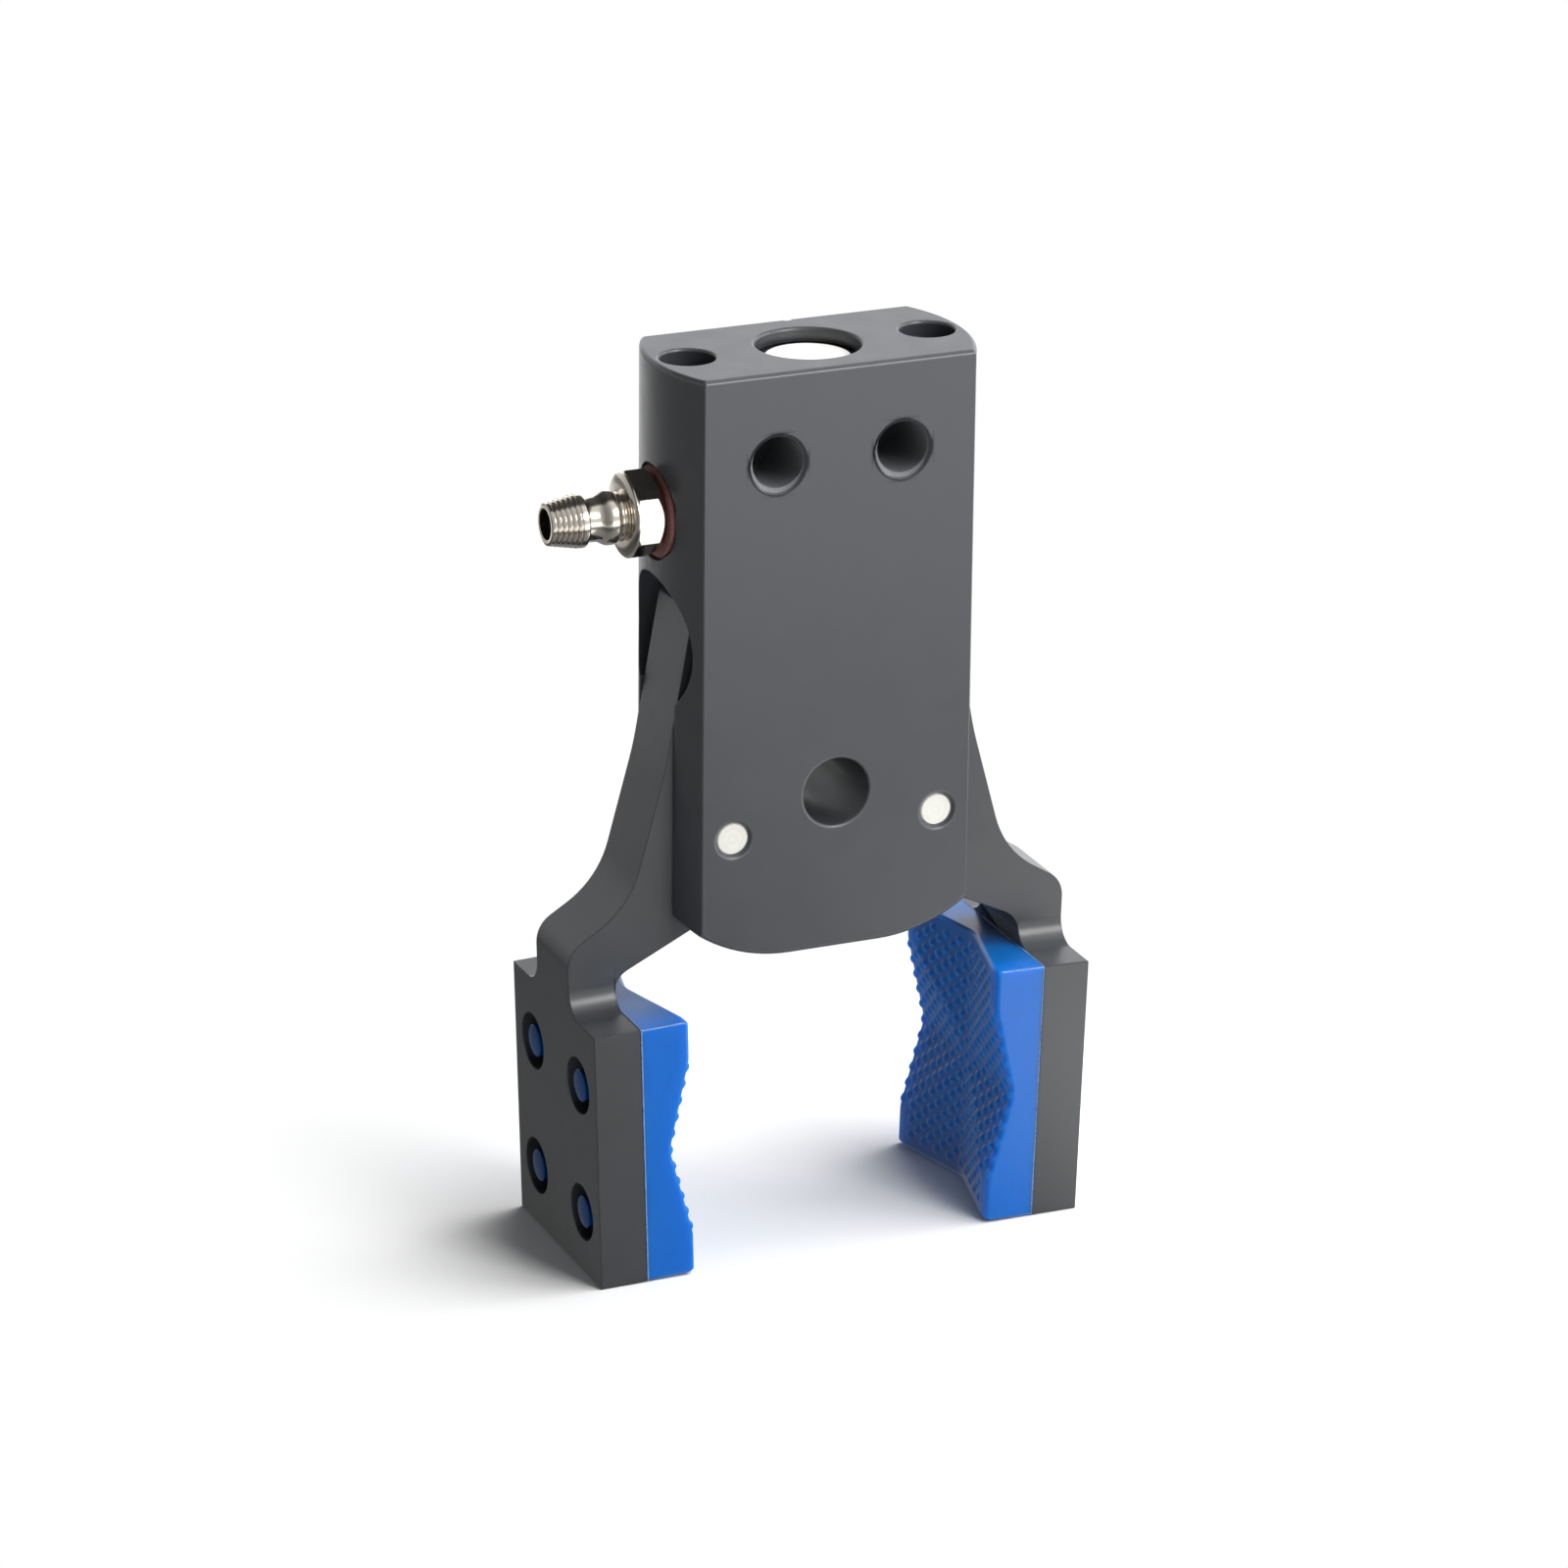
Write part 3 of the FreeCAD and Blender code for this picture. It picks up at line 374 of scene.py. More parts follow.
def new_group(name, inputs, outputs):
    """Start a shader node group with named sockets."""
    group = bpy.data.node_groups.new(name, "ShaderNodeTree")
    for title, kind, default in inputs:
        socket = group.interface.new_socket(title, in_out="INPUT", socket_type=kind)
        socket.default_value = default
    for title, kind in outputs:
        group.interface.new_socket(title, in_out="OUTPUT", socket_type=kind)
    return group, group.nodes.new("NodeGroupInput"), group.nodes.new("NodeGroupOutput")


def node(tree, kind, **settings):
    """Add a node; settings that name an input socket set it, the others set the node."""
    item = tree.nodes.new(kind)
    for key, setting in settings.items():
        title = key.replace("_", " ").title()
        if title in item.inputs:
            item.inputs[title].default_value = setting
        else:
            setattr(item, key, setting)
    return item


def ramp(tree, value, low, high, out_low, out_high):
    """Smooth step of a value between two levels."""
    item = node(tree, "ShaderNodeMapRange", interpolation_type="SMOOTHSTEP", from_min=low,
                from_max=high, to_min=out_low, to_max=out_high)
    tree.links.new(value, item.inputs["Value"])
    return item.outputs[0]


def combined(tree, operation, *values):
    """Values brought together by a math node."""
    item = node(tree, "ShaderNodeMath", operation=operation)
    for socket, value in zip(item.inputs, values):
        if isinstance(value, float):
            socket.default_value = value
        else:
            tree.links.new(value, socket)
    return item.outputs[0]


def mixed(tree, share, first, second):
    """Two shaders mixed by a share."""
    item = node(tree, "ShaderNodeMixShader")
    for socket, source in zip(item.inputs, (share, first, second)):
        tree.links.new(source, socket)
    return item.outputs[0]


def coordinates(tree, kind):
    """Texture coordinates of a kind, whole and as their three parts."""
    where = node(tree, "ShaderNodeTexCoord").outputs[kind]
    split = node(tree, "ShaderNodeSeparateXYZ")
    tree.links.new(where, split.inputs[0])
    return where, split.outputs


FINISH_OUTPUTS = [
    ("Colour", "NodeSocketColor"), ("Roughness", "NodeSocketFloat"), ("Height", "NodeSocketFloat"),
]


def finish_outputs(group, given, result, value, height, levels, rougher):
    """Spread a noise value over its usual levels, and mix a group's colours and roughness by it."""
    link = group.links.new
    spread = node(group, "ShaderNodeMapRange", from_min=levels[0], from_max=levels[1])
    link(value, spread.inputs["Value"])
    mix = node(group, "ShaderNodeMix", data_type="RGBA")
    link(spread.outputs[0], mix.inputs["Factor"])
    link(given.outputs["Shade"], mix.inputs[6])
    link(given.outputs["Colour"], mix.inputs[7])
    link(mix.outputs[2], result.inputs["Colour"])
    rough = combined(group, "MULTIPLY_ADD", spread.outputs[0], rougher, given.outputs["Roughness"])
    link(rough, result.inputs["Roughness"])
    link(height, result.inputs["Height"])


def grain_group():
    """Blasted grain in the surface, with a soft mottle of its tone."""
    group, given, result = new_group("fine_grain", [
        ("Colour", "NodeSocketColor", (0.5, 0.5, 0.5, 1)),
        ("Shade", "NodeSocketColor", (0.4, 0.4, 0.4, 1)),
        ("Grain size", "NodeSocketFloat", 8000.0),
        ("Mottle size", "NodeSocketFloat", 300.0),
        ("Roughness", "NodeSocketFloat", 0.45),
    ], FINISH_OUTPUTS)
    link = group.links.new
    where = node(group, "ShaderNodeTexCoord")
    grain = node(group, "ShaderNodeTexNoise", detail=2.0)
    mottle = node(group, "ShaderNodeTexNoise", detail=4.0)
    for noise, size in ((grain, "Grain size"), (mottle, "Mottle size")):
        link(where.outputs["Object"], noise.inputs["Vector"])
        link(given.outputs[size], noise.inputs["Scale"])
    halved = combined(group, "MULTIPLY", mottle.outputs["Fac"], 0.5)
    both = combined(group, "MULTIPLY_ADD", grain.outputs["Fac"], 0.5, halved)
    finish_outputs(group, given, result, both, grain.outputs["Fac"], (0.32, 0.68), 0.08)
    return group


def rings_group():
    """Fine tool rings about an axis, from a vector across it."""
    group, given, result = new_group("tool_rings", [
        ("Vector", "NodeSocketVector", (0, 0, 0)),
        ("Feed", "NodeSocketFloat", 20000.0),
        ("Colour", "NodeSocketColor", (0.8, 0.8, 0.8, 1)),
        ("Shade", "NodeSocketColor", (0.6, 0.6, 0.6, 1)),
        ("Roughness", "NodeSocketFloat", 0.2),
    ], FINISH_OUTPUTS)
    link = group.links.new
    reach = node(group, "ShaderNodeVectorMath", operation="LENGTH")
    link(given.outputs["Vector"], reach.inputs[0])
    phase = combined(group, "MULTIPLY", reach.outputs["Value"], given.outputs["Feed"])
    noise = node(group, "ShaderNodeTexNoise", noise_dimensions="1D", detail=3.0, scale=1.0)
    link(phase, noise.inputs["W"])
    finish_outputs(group, given, result, noise.outputs["Fac"], noise.outputs["Fac"], (0.3, 0.7), 0.1)
    return group


def shared_group(name, make):
    """Node group of this name, made once."""
    return bpy.data.node_groups.get(name) or make()


def new_material(name, metallic=0.0, **sockets):
    """Start a material; sockets sets numbers on its shader's own sockets."""
    material = bpy.data.materials.new(name)
    material.use_nodes = True
    shader = material.node_tree.nodes["Principled BSDF"]
    shader.inputs["Metallic"].default_value = metallic
    for title, setting in sockets.items():
        shader.inputs[title.replace("_", " ").title().replace("Ior", "IOR")].default_value = setting
    return material, material.node_tree, shader


def toned(tone, level=1.0):
    """Colour with its level changed, as four numbers."""
    return tuple(min(1.0, part * level) for part in tone) + (1.0,)


def dress(tree, shader, texture, tone, shade_level, roughness, depth):
    """Bring the colour, roughness and height of a finish group to a shader."""
    link = tree.links.new
    texture.inputs["Colour"].default_value = toned(tone)
    texture.inputs["Shade"].default_value = toned(tone, shade_level)
    texture.inputs["Roughness"].default_value = roughness
    bump = node(tree, "ShaderNodeBump", distance=depth, strength=1.0)
    link(texture.outputs["Colour"], shader.inputs["Base Color"])
    link(texture.outputs["Roughness"], shader.inputs["Roughness"])
    link(texture.outputs["Height"], bump.inputs["Height"])
    link(bump.outputs["Normal"], shader.inputs["Normal"])


def grained(name, tone, roughness, shade_level=0.88, grain_size=8000.0, mottle_size=300.0,
            depth=0.006 * MM, metallic=0.0, **sockets):
    """Material with a fine grain in its colour, roughness and normal."""
    material, tree, shader = new_material(name, metallic, **sockets)
    texture = node(tree, "ShaderNodeGroup", node_tree=shared_group("fine_grain", grain_group))
    texture.inputs["Grain size"].default_value = grain_size
    texture.inputs["Mottle size"].default_value = mottle_size
    dress(tree, shader, texture, tone, shade_level, roughness, depth)
    return material


def ringed(name, tone, roughness, centre, across, feed=20000.0, shade_level=0.85, metallic=1.0):
    """Turned material; across is 1 along the axes that the rings are measured in."""
    material, tree, shader = new_material(name, metallic)
    where = node(tree, "ShaderNodeTexCoord")
    centred = node(tree, "ShaderNodeMapping")
    centred.inputs["Location"].default_value = [-c * a for c, a in zip(centre, across)]
    centred.inputs["Scale"].default_value = across
    texture = node(tree, "ShaderNodeGroup", node_tree=shared_group("tool_rings", rings_group))
    texture.inputs["Feed"].default_value = feed
    tree.links.new(where.outputs["Object"], centred.inputs["Vector"])
    tree.links.new(centred.outputs["Vector"], texture.inputs["Vector"])
    dress(tree, shader, texture, tone, shade_level, roughness, 0.002 * MM)
    return material


def anodised(name, tone):
    """Blasted and anodised aluminium."""
    return grained(name, tone, 0.33, shade_level=0.86, depth=0.004 * MM, ior=1.7)


# Body


def settings_of(context):
    """Sizes and colours of the gripper."""
    return context.scene.gripper_shape, context.scene.gripper_finish


def thread_cutter(shape):
    """Helical V that cuts a thread down along Z."""
    start_alone()
    overlap, root_share, crest_share, turn_steps = 0.1 * MM, 0.82, 0.16, 40
    inner = shape.thread_drill / 2 - overlap
    outer = shape.thread_drill / 2 + shape.thread_depth
    bpy.ops.mesh.primitive_plane_add(
        size=1, location=((inner + outer) / 2, 0, 0), rotation=(math.pi / 2, 0, 0))
    cutter = bpy.context.object
    cutter.scale = (outer - inner, shape.thread_pitch * root_share, 1)
    bpy.ops.object.transform_apply(location=True, rotation=True, scale=True)
    pick(cutter, "vertices", lambda vertex: vertex.co.x > (inner + outer) / 2)
    bpy.ops.transform.resize(value=(1, 1, crest_share), center_override=(outer, 0, 0))
    bpy.ops.mesh.select_all(action="SELECT")
    bpy.ops.transform.translate(value=(0, 0, -shape.thread_start))
    bpy.ops.mesh.delete(type="ONLY_FACE")
    leave_edit()
    screw = cutter.modifiers.new("helix", "SCREW")
    screw.angle = math.radians(360)
    screw.screw_offset = -shape.thread_pitch
    screw.iterations = round(shape.tapped_length / shape.thread_pitch)
    screw.steps = screw.render_steps = turn_steps
    screw.use_merge_vertices = False
    screw.use_smooth_shade = False
    apply_all(cutter)
    edit_all(cutter)
    close_ends(cutter, threshold=1e-7)
    return cutter


def at_front_hole(shape, side):
    """Place of a front hole, with its axis along Z and its mouth at the origin."""
    mouth = (side * shape.front_hole_reach, -shape.half_thickness, -shape.front_hole_drop)
    return Matrix.Translation(mouth) @ Matrix.Rotation(math.pi / 2, 4, "X")


class GRIPPER_OT_body(bpy.types.Operator):
    """Body with broken edges, tapped holes in its top and widened holes in its front"""
    bl_idname = "gripper.body"
    bl_label = "Body"
    bl_options = {"REGISTER", "UNDO"}

    def widen_front_holes(self, shape, body):
        """Widen the front holes to the rims of their chamfers, for their linings."""
        for _, side in SIDES:
            bore = turned("wide_bore", [(shape.front_hole_wide / 2, -shape.lining_length),
                                        (shape.front_hole_wide / 2, shape.edge)], shape.turned_steps)
            place(bore, at_front_hole(shape, side))
            cut(body, bore)

    def execute(self, context):
        shape, finish = settings_of(context)
        body = copy_node("gripper_body", "body_milled")
        # The lighter edge colour is partly wear and partly a painted highlight.
        paint(body, anodised("body_anodised", finish.body), anodised("body_edge", finish.edge))
        self.widen_front_holes(shape, body)
        break_edges(body, shape.edge, edge_slot=1)
        cutters = []
        for _, side in SIDES:
            cutter = thread_cutter(shape)
            place(cutter, Matrix.Translation((side * shape.top_hole_reach, 0, 0)))
            cutters.append(cutter)
        cut(body, join(cutters, "threads"))
        shade(body)
        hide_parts("gripper_body")
        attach(body, "gripper")
        return {"FINISHED"}


class GRIPPER_OT_linings(bpy.types.Operator):
    """Linings of the front holes, whose bores sit off centre and leave a sloping crescent"""
    bl_idname = "gripper.linings"
    bl_label = "Linings"
    bl_options = {"REGISTER", "UNDO"}

    def execute(self, context):
        shape, finish = settings_of(context)
        radius, bore_radius = shape.front_hole_wide / 2, shape.lining_bore / 2
        outside, slope = shape.edge, shape.lining_slope
        linings = []
        for _, side in SIDES:
            lining = turned("lining", [(radius, -shape.lining_length), (radius, 0)], shape.turned_steps)
            funnel = turned("funnel", [(bore_radius, -2 * shape.lining_length), (bore_radius, -slope),
                                       (bore_radius + slope, 0), (bore_radius + slope + outside, outside)],
                            shape.turned_steps)
            place(funnel, Matrix.Translation((shape.lining_shift * math.cos(shape.lining_turn),
                                              shape.lining_shift * math.sin(shape.lining_turn), 0)))
            cut(lining, funnel)
            place(lining, at_front_hole(shape, side))
            linings.append(lining)
        piece = join(linings, "front_hole_linings")
        # Painted light: the linings' inside is coloured lighter, standing in for light inside the holes.
        paint(piece, grained("hollow", finish.hollow, 0.5),
              grained("bare_metal", finish.bare, 0.35, shade_level=0.8))
        steep, flat = -0.3, -0.9
        for polygon in piece.data.polygons:
            if flat < polygon.normal.y < steep:
                polygon.material_index = 1
        shade(piece)
        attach(piece, "gripper")
        return {"FINISHED"}


# Fingers


class GRIPPER_OT_fingers(bpy.types.Operator):
    """Fingers with broken edges"""
    bl_idname = "gripper.fingers"
    bl_label = "Fingers"
    bl_options = {"REGISTER", "UNDO"}

    def execute(self, context):
        shape, finish = settings_of(context)
        milled = anodised("finger_anodised", finish.finger)
        # Painted shade: the broken edges are darker than the faces.
        edge = anodised("finger_edge", finish.finger_edge)
        for name, _ in SIDES:
            finger = copy_node("finger_" + name, "finger_milled_" + name)
            paint(finger, milled, edge)
            break_edges(finger, shape.edge, edge_slot=1)
            shade(finger)
            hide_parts("finger_" + name)
            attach(finger, name + "_finger")
        return {"FINISHED"}


# Grip pads


def at_pivot(shape, side):
    """Place of a finger's own axes, outwards along X from its pivot."""
    spot = Matrix.Translation((side * shape.pivot_reach, 0, -shape.pivot_drop))
    about = Matrix.Rotation(0 if side > 0 else math.pi, 4, "Z")
    return spot @ about @ Matrix.Rotation(shape.toe_in, 4, "Y")


def valley(shape, reach):
    """Depth of one groove at a distance from its middle, rounded at its bottom and at its ridges."""
    half = shape.groove_width / 2
    slope = shape.groove_depth / half
    turn = math.atan(slope)
    low = shape.valley_radius * math.sin(turn)
    high = shape.ridge_radius * math.tan(turn / 2)
    reach = abs(reach)
    if reach < low:
        drop = shape.valley_radius * (1 / math.cos(turn) - 1)
        sag = shape.valley_radius - math.sqrt(shape.valley_radius ** 2 - reach ** 2)
        return shape.groove_depth - drop - sag
    if reach > half + high:
        return 0.0
    if reach > half - high:
        return (half + high - reach) ** 2 * slope / (4 * high)
    return shape.groove_depth - reach * slope


def groove_floor(shape, across, up):
    """Depth of the crossed grooves at a place on the pad's face, their ridges a little softened."""
    first, second = valley(shape, across), valley(shape, up)
    soft = 0.12 * MM
    gap = abs(first - second)
    return max(first, second) + (max(0.0, soft - gap) ** 2) / (4 * soft)


def on_grooves(shape, across, up):
    """Whether a knob stands here: inside the face and clear of its flat corners."""
    half = shape.groove_width / 2
    margin = shape.knob_width / 2
    wide = shape.pad_width / 2 - shape.knob_width / 4
    tall = (shape.pad_bottom - shape.pad_top) / 2 - shape.knob_clear
    if abs(across) > wide or abs(up) > tall:
        return False
    return abs(across) < half - margin or abs(up) < half - margin


def knob_rise(shape, across, up):
    """Height of the moulded knobs at a place on the pad's face; their columns are staggered."""
    rise, roundness = 0.0, 1.1
    column = round(across / shape.knob_column)
    for near in (column - 1, column, column + 1):
        shift = 0.5 * (near % 2)
        row = round(up / shape.knob_pitch - shift)
        middle = (near * shape.knob_column, (row + shift) * shape.knob_pitch)
        reach = math.hypot(across - middle[0], up - middle[1]) / (shape.knob_width / 2)
        if reach < 1 and on_grooves(shape, *middle):
            rise = max(rise, shape.knob_height * (1 - reach ** 2) ** roundness)
    return rise


def rim_drop(shape, across, up):
    """How far the rounded rim falls behind the pad's face."""
    radius = shape.pad_rim
    tall = (shape.pad_bottom - shape.pad_top) / 2
    beyond = [max(0.0, radius - (limit - abs(value)))
              for limit, value in ((shape.pad_width / 2, across), (tall, up))]
    rest = radius ** 2 - beyond[0] ** 2 - beyond[1] ** 2
    return radius - math.sqrt(max(0.0, rest))


def face_lines(half, rim, step):
    """Places of the lines of the pad's face, closer together at its rounded rim."""
    rim_steps = 6
    turns = [math.pi / 2 * index / rim_steps for index in range(rim_steps + 1)]
    edge = [-half + rim * (1 - math.sin(turn)) for turn in reversed(turns)]
    count = round(2 * (half - rim) / step)
    middle = [-(half - rim) + 2 * (half - rim) * index / count for index in range(1, count)]
    return edge + middle + [-value for value in reversed(edge)]


def in_rounded_corner(half, tall, radius, across, up):
    """Move a place near a square corner onto the round one."""
    past = [max(0.0, radius - (limit - abs(value))) for limit, value in ((half, across), (tall, up))]
    if min(past) <= 0:
        return across, up
    pull = max(past) / math.hypot(*past)
    placed = [math.copysign(limit - radius + part * pull, value)
              for limit, value, part in ((half, across, past[0]), (tall, up, past[1]))]
    return tuple(placed)


def pad_block(shape, name):
    """Block of a pad: a fine grid shaped to its grooves, with walls drawn back from its border."""
    face = shape.pad_back - shape.pad_thickness
    half = shape.pad_width / 2
    tall = (shape.pad_bottom - shape.pad_top) / 2
    middle = -(shape.pad_top + shape.pad_bottom) / 2
    lines_across = face_lines(half, shape.pad_rim, shape.face_step)
    lines_up = face_lines(tall, shape.pad_rim, shape.face_step)
    start_alone()
    bpy.ops.mesh.primitive_grid_add(
        x_subdivisions=len(lines_across) - 1, y_subdivisions=len(lines_up) - 1, size=2)
    pad = bpy.context.object
    pad.name = name
    for vertex in pad.data.vertices:
        across = lines_across[round((vertex.co.x + 1) / 2 * (len(lines_across) - 1))]
        up = lines_up[round((vertex.co.y + 1) / 2 * (len(lines_up) - 1))]
        deep = groove_floor(shape, across, up) + rim_drop(shape, across, up)
        deep -= knob_rise(shape, across, up)
        across, up = in_rounded_corner(half, tall, shape.pad_edge, across, up)
        vertex.co = (face + deep, across, middle + up)
    pick(pad, "edges", lambda edge: False)
    bpy.ops.mesh.select_non_manifold()
    seam = shape.pad_back - shape.seam_width
    hold = 0.05 * MM
    bpy.ops.mesh.extrude_region_move(TRANSFORM_OT_translate={"value": (hold, 0, 0)})
    wide = 1.0
    lipped = 1 + shape.seam_lip / half
    for level, grown in ((seam - hold, 1.0), (seam, 1.0), (seam + shape.seam_lip, lipped),
                         (shape.pad_back, lipped)):
        bpy.ops.mesh.extrude_region_move()
        grow = grown / wide
        bpy.ops.transform.resize(value=(0, grow, grow), center_override=(level, 0, middle))
        wide = grown
    bpy.ops.mesh.edge_face_add()
    leave_edit()
    tidy_mesh(pad)
    return pad


def mark_seam_and_highlight(shape, pad):
    """Give the seam round a pad's back its own pale finish, and give the pad's rounded corner edges the
    same pale finish as a painted highlight.
    """
    for polygon in pad.data.polygons:
        outwards, sideways, upright = (abs(part) for part in polygon.normal)
        # Rounded corner edges take the pale seam colour as a painted highlight.
        rounded = min(sideways, upright) > 0.3 and outwards < 0.1
        if polygon.center.x > shape.pad_back - shape.seam_width or rounded:
            polygon.material_index = 1


def peg_places(shape):
    """Places of a pad's four pegs, across it and up from the pivot."""
    low = shape.peg_rise - shape.pad_bottom
    return [(side * shape.peg_across / 2, level)
            for _, side in SIDES for level in (low, low + shape.peg_up)]


def paint_core_shade(tree, shader, painted_shade):
    """Painted shade: darken the pads' colour where they are thick, so that their thin sides look lit by
    the light coming through them.
    """
    link = tree.links.new
    _, parts = coordinates(tree, "Object")
    reach = combined(tree, "ABSOLUTE", parts["Y"])
    core_shaded = node(tree, "ShaderNodeMix", data_type="RGBA", blend_type="MULTIPLY")
    core_reach, edge_reach = 6.6 * MM, 9.5 * MM
    link(ramp(tree, reach, core_reach, edge_reach, 1.0, 0.0), core_shaded.inputs["Factor"])
    link(shader.inputs["Base Color"].links[0].from_socket, core_shaded.inputs[6])
    core_shaded.inputs[7].default_value = toned(painted_shade)
    link(core_shaded.outputs[2], shader.inputs["Base Color"])


def grip_pad(shape, name, side, rubber, seam, dark):
    """Moulded pad with crossed grooves and knobs, and the domed pegs that hold it."""
    pad = pad_block(shape, "grip_pad_" + name)
    # The seam material is also a painted highlight on the corner edges.
    paint(pad, rubber, seam)
    mark_seam_and_highlight(shape, pad)
    bpy.ops.object.shade_smooth_by_angle(angle=math.radians(50), keep_sharp_edges=False)
    parts = [pad]
    radius, end = shape.peg_width / 2, shape.peg_length
    bite, peg_steps = 0.4 * MM, 40
    for across, level in peg_places(shape):
        outline = [(radius, -bite), (radius, end - shape.peg_dome)]
        outline += [(radius * math.cos(turn), end - shape.peg_dome * (1 - math.sin(turn)))
                    for turn in (math.radians(degrees) for degrees in (15, 30, 45, 60, 75, 86))]
        peg = turned("peg", outline, peg_steps)
        spot = Matrix.Translation((shape.pad_back, across, level))
        place(peg, spot @ Matrix.Rotation(math.pi / 2, 4, "Y"))
        # The pegs are painted darker than the pad: painted shade.
        paint(peg, dark)
        shade(peg)
        parts.append(peg)
    pad = join(parts, "grip_pad_" + name)
    place(pad, at_pivot(shape, side))
    return pad


class GRIPPER_OT_pads(bpy.types.Operator):
    """Moulded grip pads"""
    bl_idname = "gripper.pads"
    bl_label = "Grip pads"
    bl_options = {"REGISTER", "UNDO"}

    def execute(self, context):
        shape, finish = settings_of(context)
        rubber = grained("pad_blue", finish.pad, 0.3, shade_level=0.92, grain_size=5000.0,
                         mottle_size=500.0, depth=0.005 * MM, subsurface_weight=0.9,
                         subsurface_scale=0.0025, specular_ior_level=0.65)
        shader = rubber.node_tree.nodes["Principled BSDF"]
        shader.inputs["Subsurface Radius"].default_value = (0.2, 1.0, 1.0)
        # Painted shade: the pads' core is coloured darker than their thin sides.
        paint_core_shade(rubber.node_tree, shader, finish.pad_core)
        # Pale seam finish, also a painted highlight on the rounded corner edges.
        seam = grained("pad_seam", finish.pad_seam, 0.4, shade_level=0.3, grain_size=5000.0,
                       mottle_size=900.0, depth=0.004 * MM)
        # Painted shade: a darker copy of the pads' blue for the pegs, which sit in shaded counterbores.
        dark = grained("peg_blue", finish.peg, 0.2, grain_size=5000.0, depth=0.001 * MM,
                       specular_ior_level=0.2)
        for name, side in SIDES:
            pad = grip_pad(shape, name, side, rubber, seam, dark)
            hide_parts("pad_" + name)
            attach(pad, name + "_finger")
        return {"FINISHED"}


# Hose fitting


def on_port(shape, distance):
    """Place on the air port, Z pointing out of the body."""
    spot = Matrix.Translation((-shape.port_seat - distance, 0, -shape.port_drop))
    return spot @ Matrix.Rotation(-math.pi / 2, 4, "Y")


def mm(*pairs):
    """Profile points given in millimetres."""
    return [(radius * MM, height * MM) for radius, height in pairs]


def fitting_profile():
    """Collar, bead, waist and ridged barb above the hexagon, and the bore down through it."""
    points = [(1.2, 2.5), (3.4, 2.5), (3.6, 2.74), (3.86, 2.78), (3.87, 2.84), (3.82, 2.93), (3.7, 3.02),
              (3.5, 3.12), (3.2, 3.22), (2.8, 3.29), (2.35, 3.33), (2.16, 3.36), (2.08, 3.42), (2.05, 3.5),
              (2.05, 3.76),
              (2.08, 3.84), (2.18, 3.9), (2.32, 3.94), (2.43, 4.02), (2.49, 4.14), (2.5, 4.3), (2.5, 4.68),
              (2.47, 4.86), (2.39, 5.06), (2.27, 5.26), (2.16, 5.44), (2.09, 5.62), (2.05, 5.82),
              (2.05, 6.7), (2.08, 6.8), (2.16, 6.86), (2.3, 6.88), (2.4, 6.92), (2.44, 7.0), (2.45, 7.1),
              (2.43, 7.5)]
    ridges = 6
    start, span = 7.5, 2.75
    step = span / ridges
    for index in range(ridges):
        low = start + step * index
        wide = 2.43 - 0.53 * index / ridges
        points += [(wide - 0.16, low + 0.03 * step), (wide - 0.17, low + 0.16 * step),
                   (wide - 0.03, low + 0.3 * step), (wide - 0.01, low + 0.4 * step),
                   (wide - 0.02, low + 0.5 * step), (wide - 0.08, low + 0.97 * step)]
    points += [(1.82, 10.25), (1.76, 10.3), (1.46, 10.3), (1.4, 10.26), (1.4, 3.0), (1.2, 2.5)]
    return mm(*points)


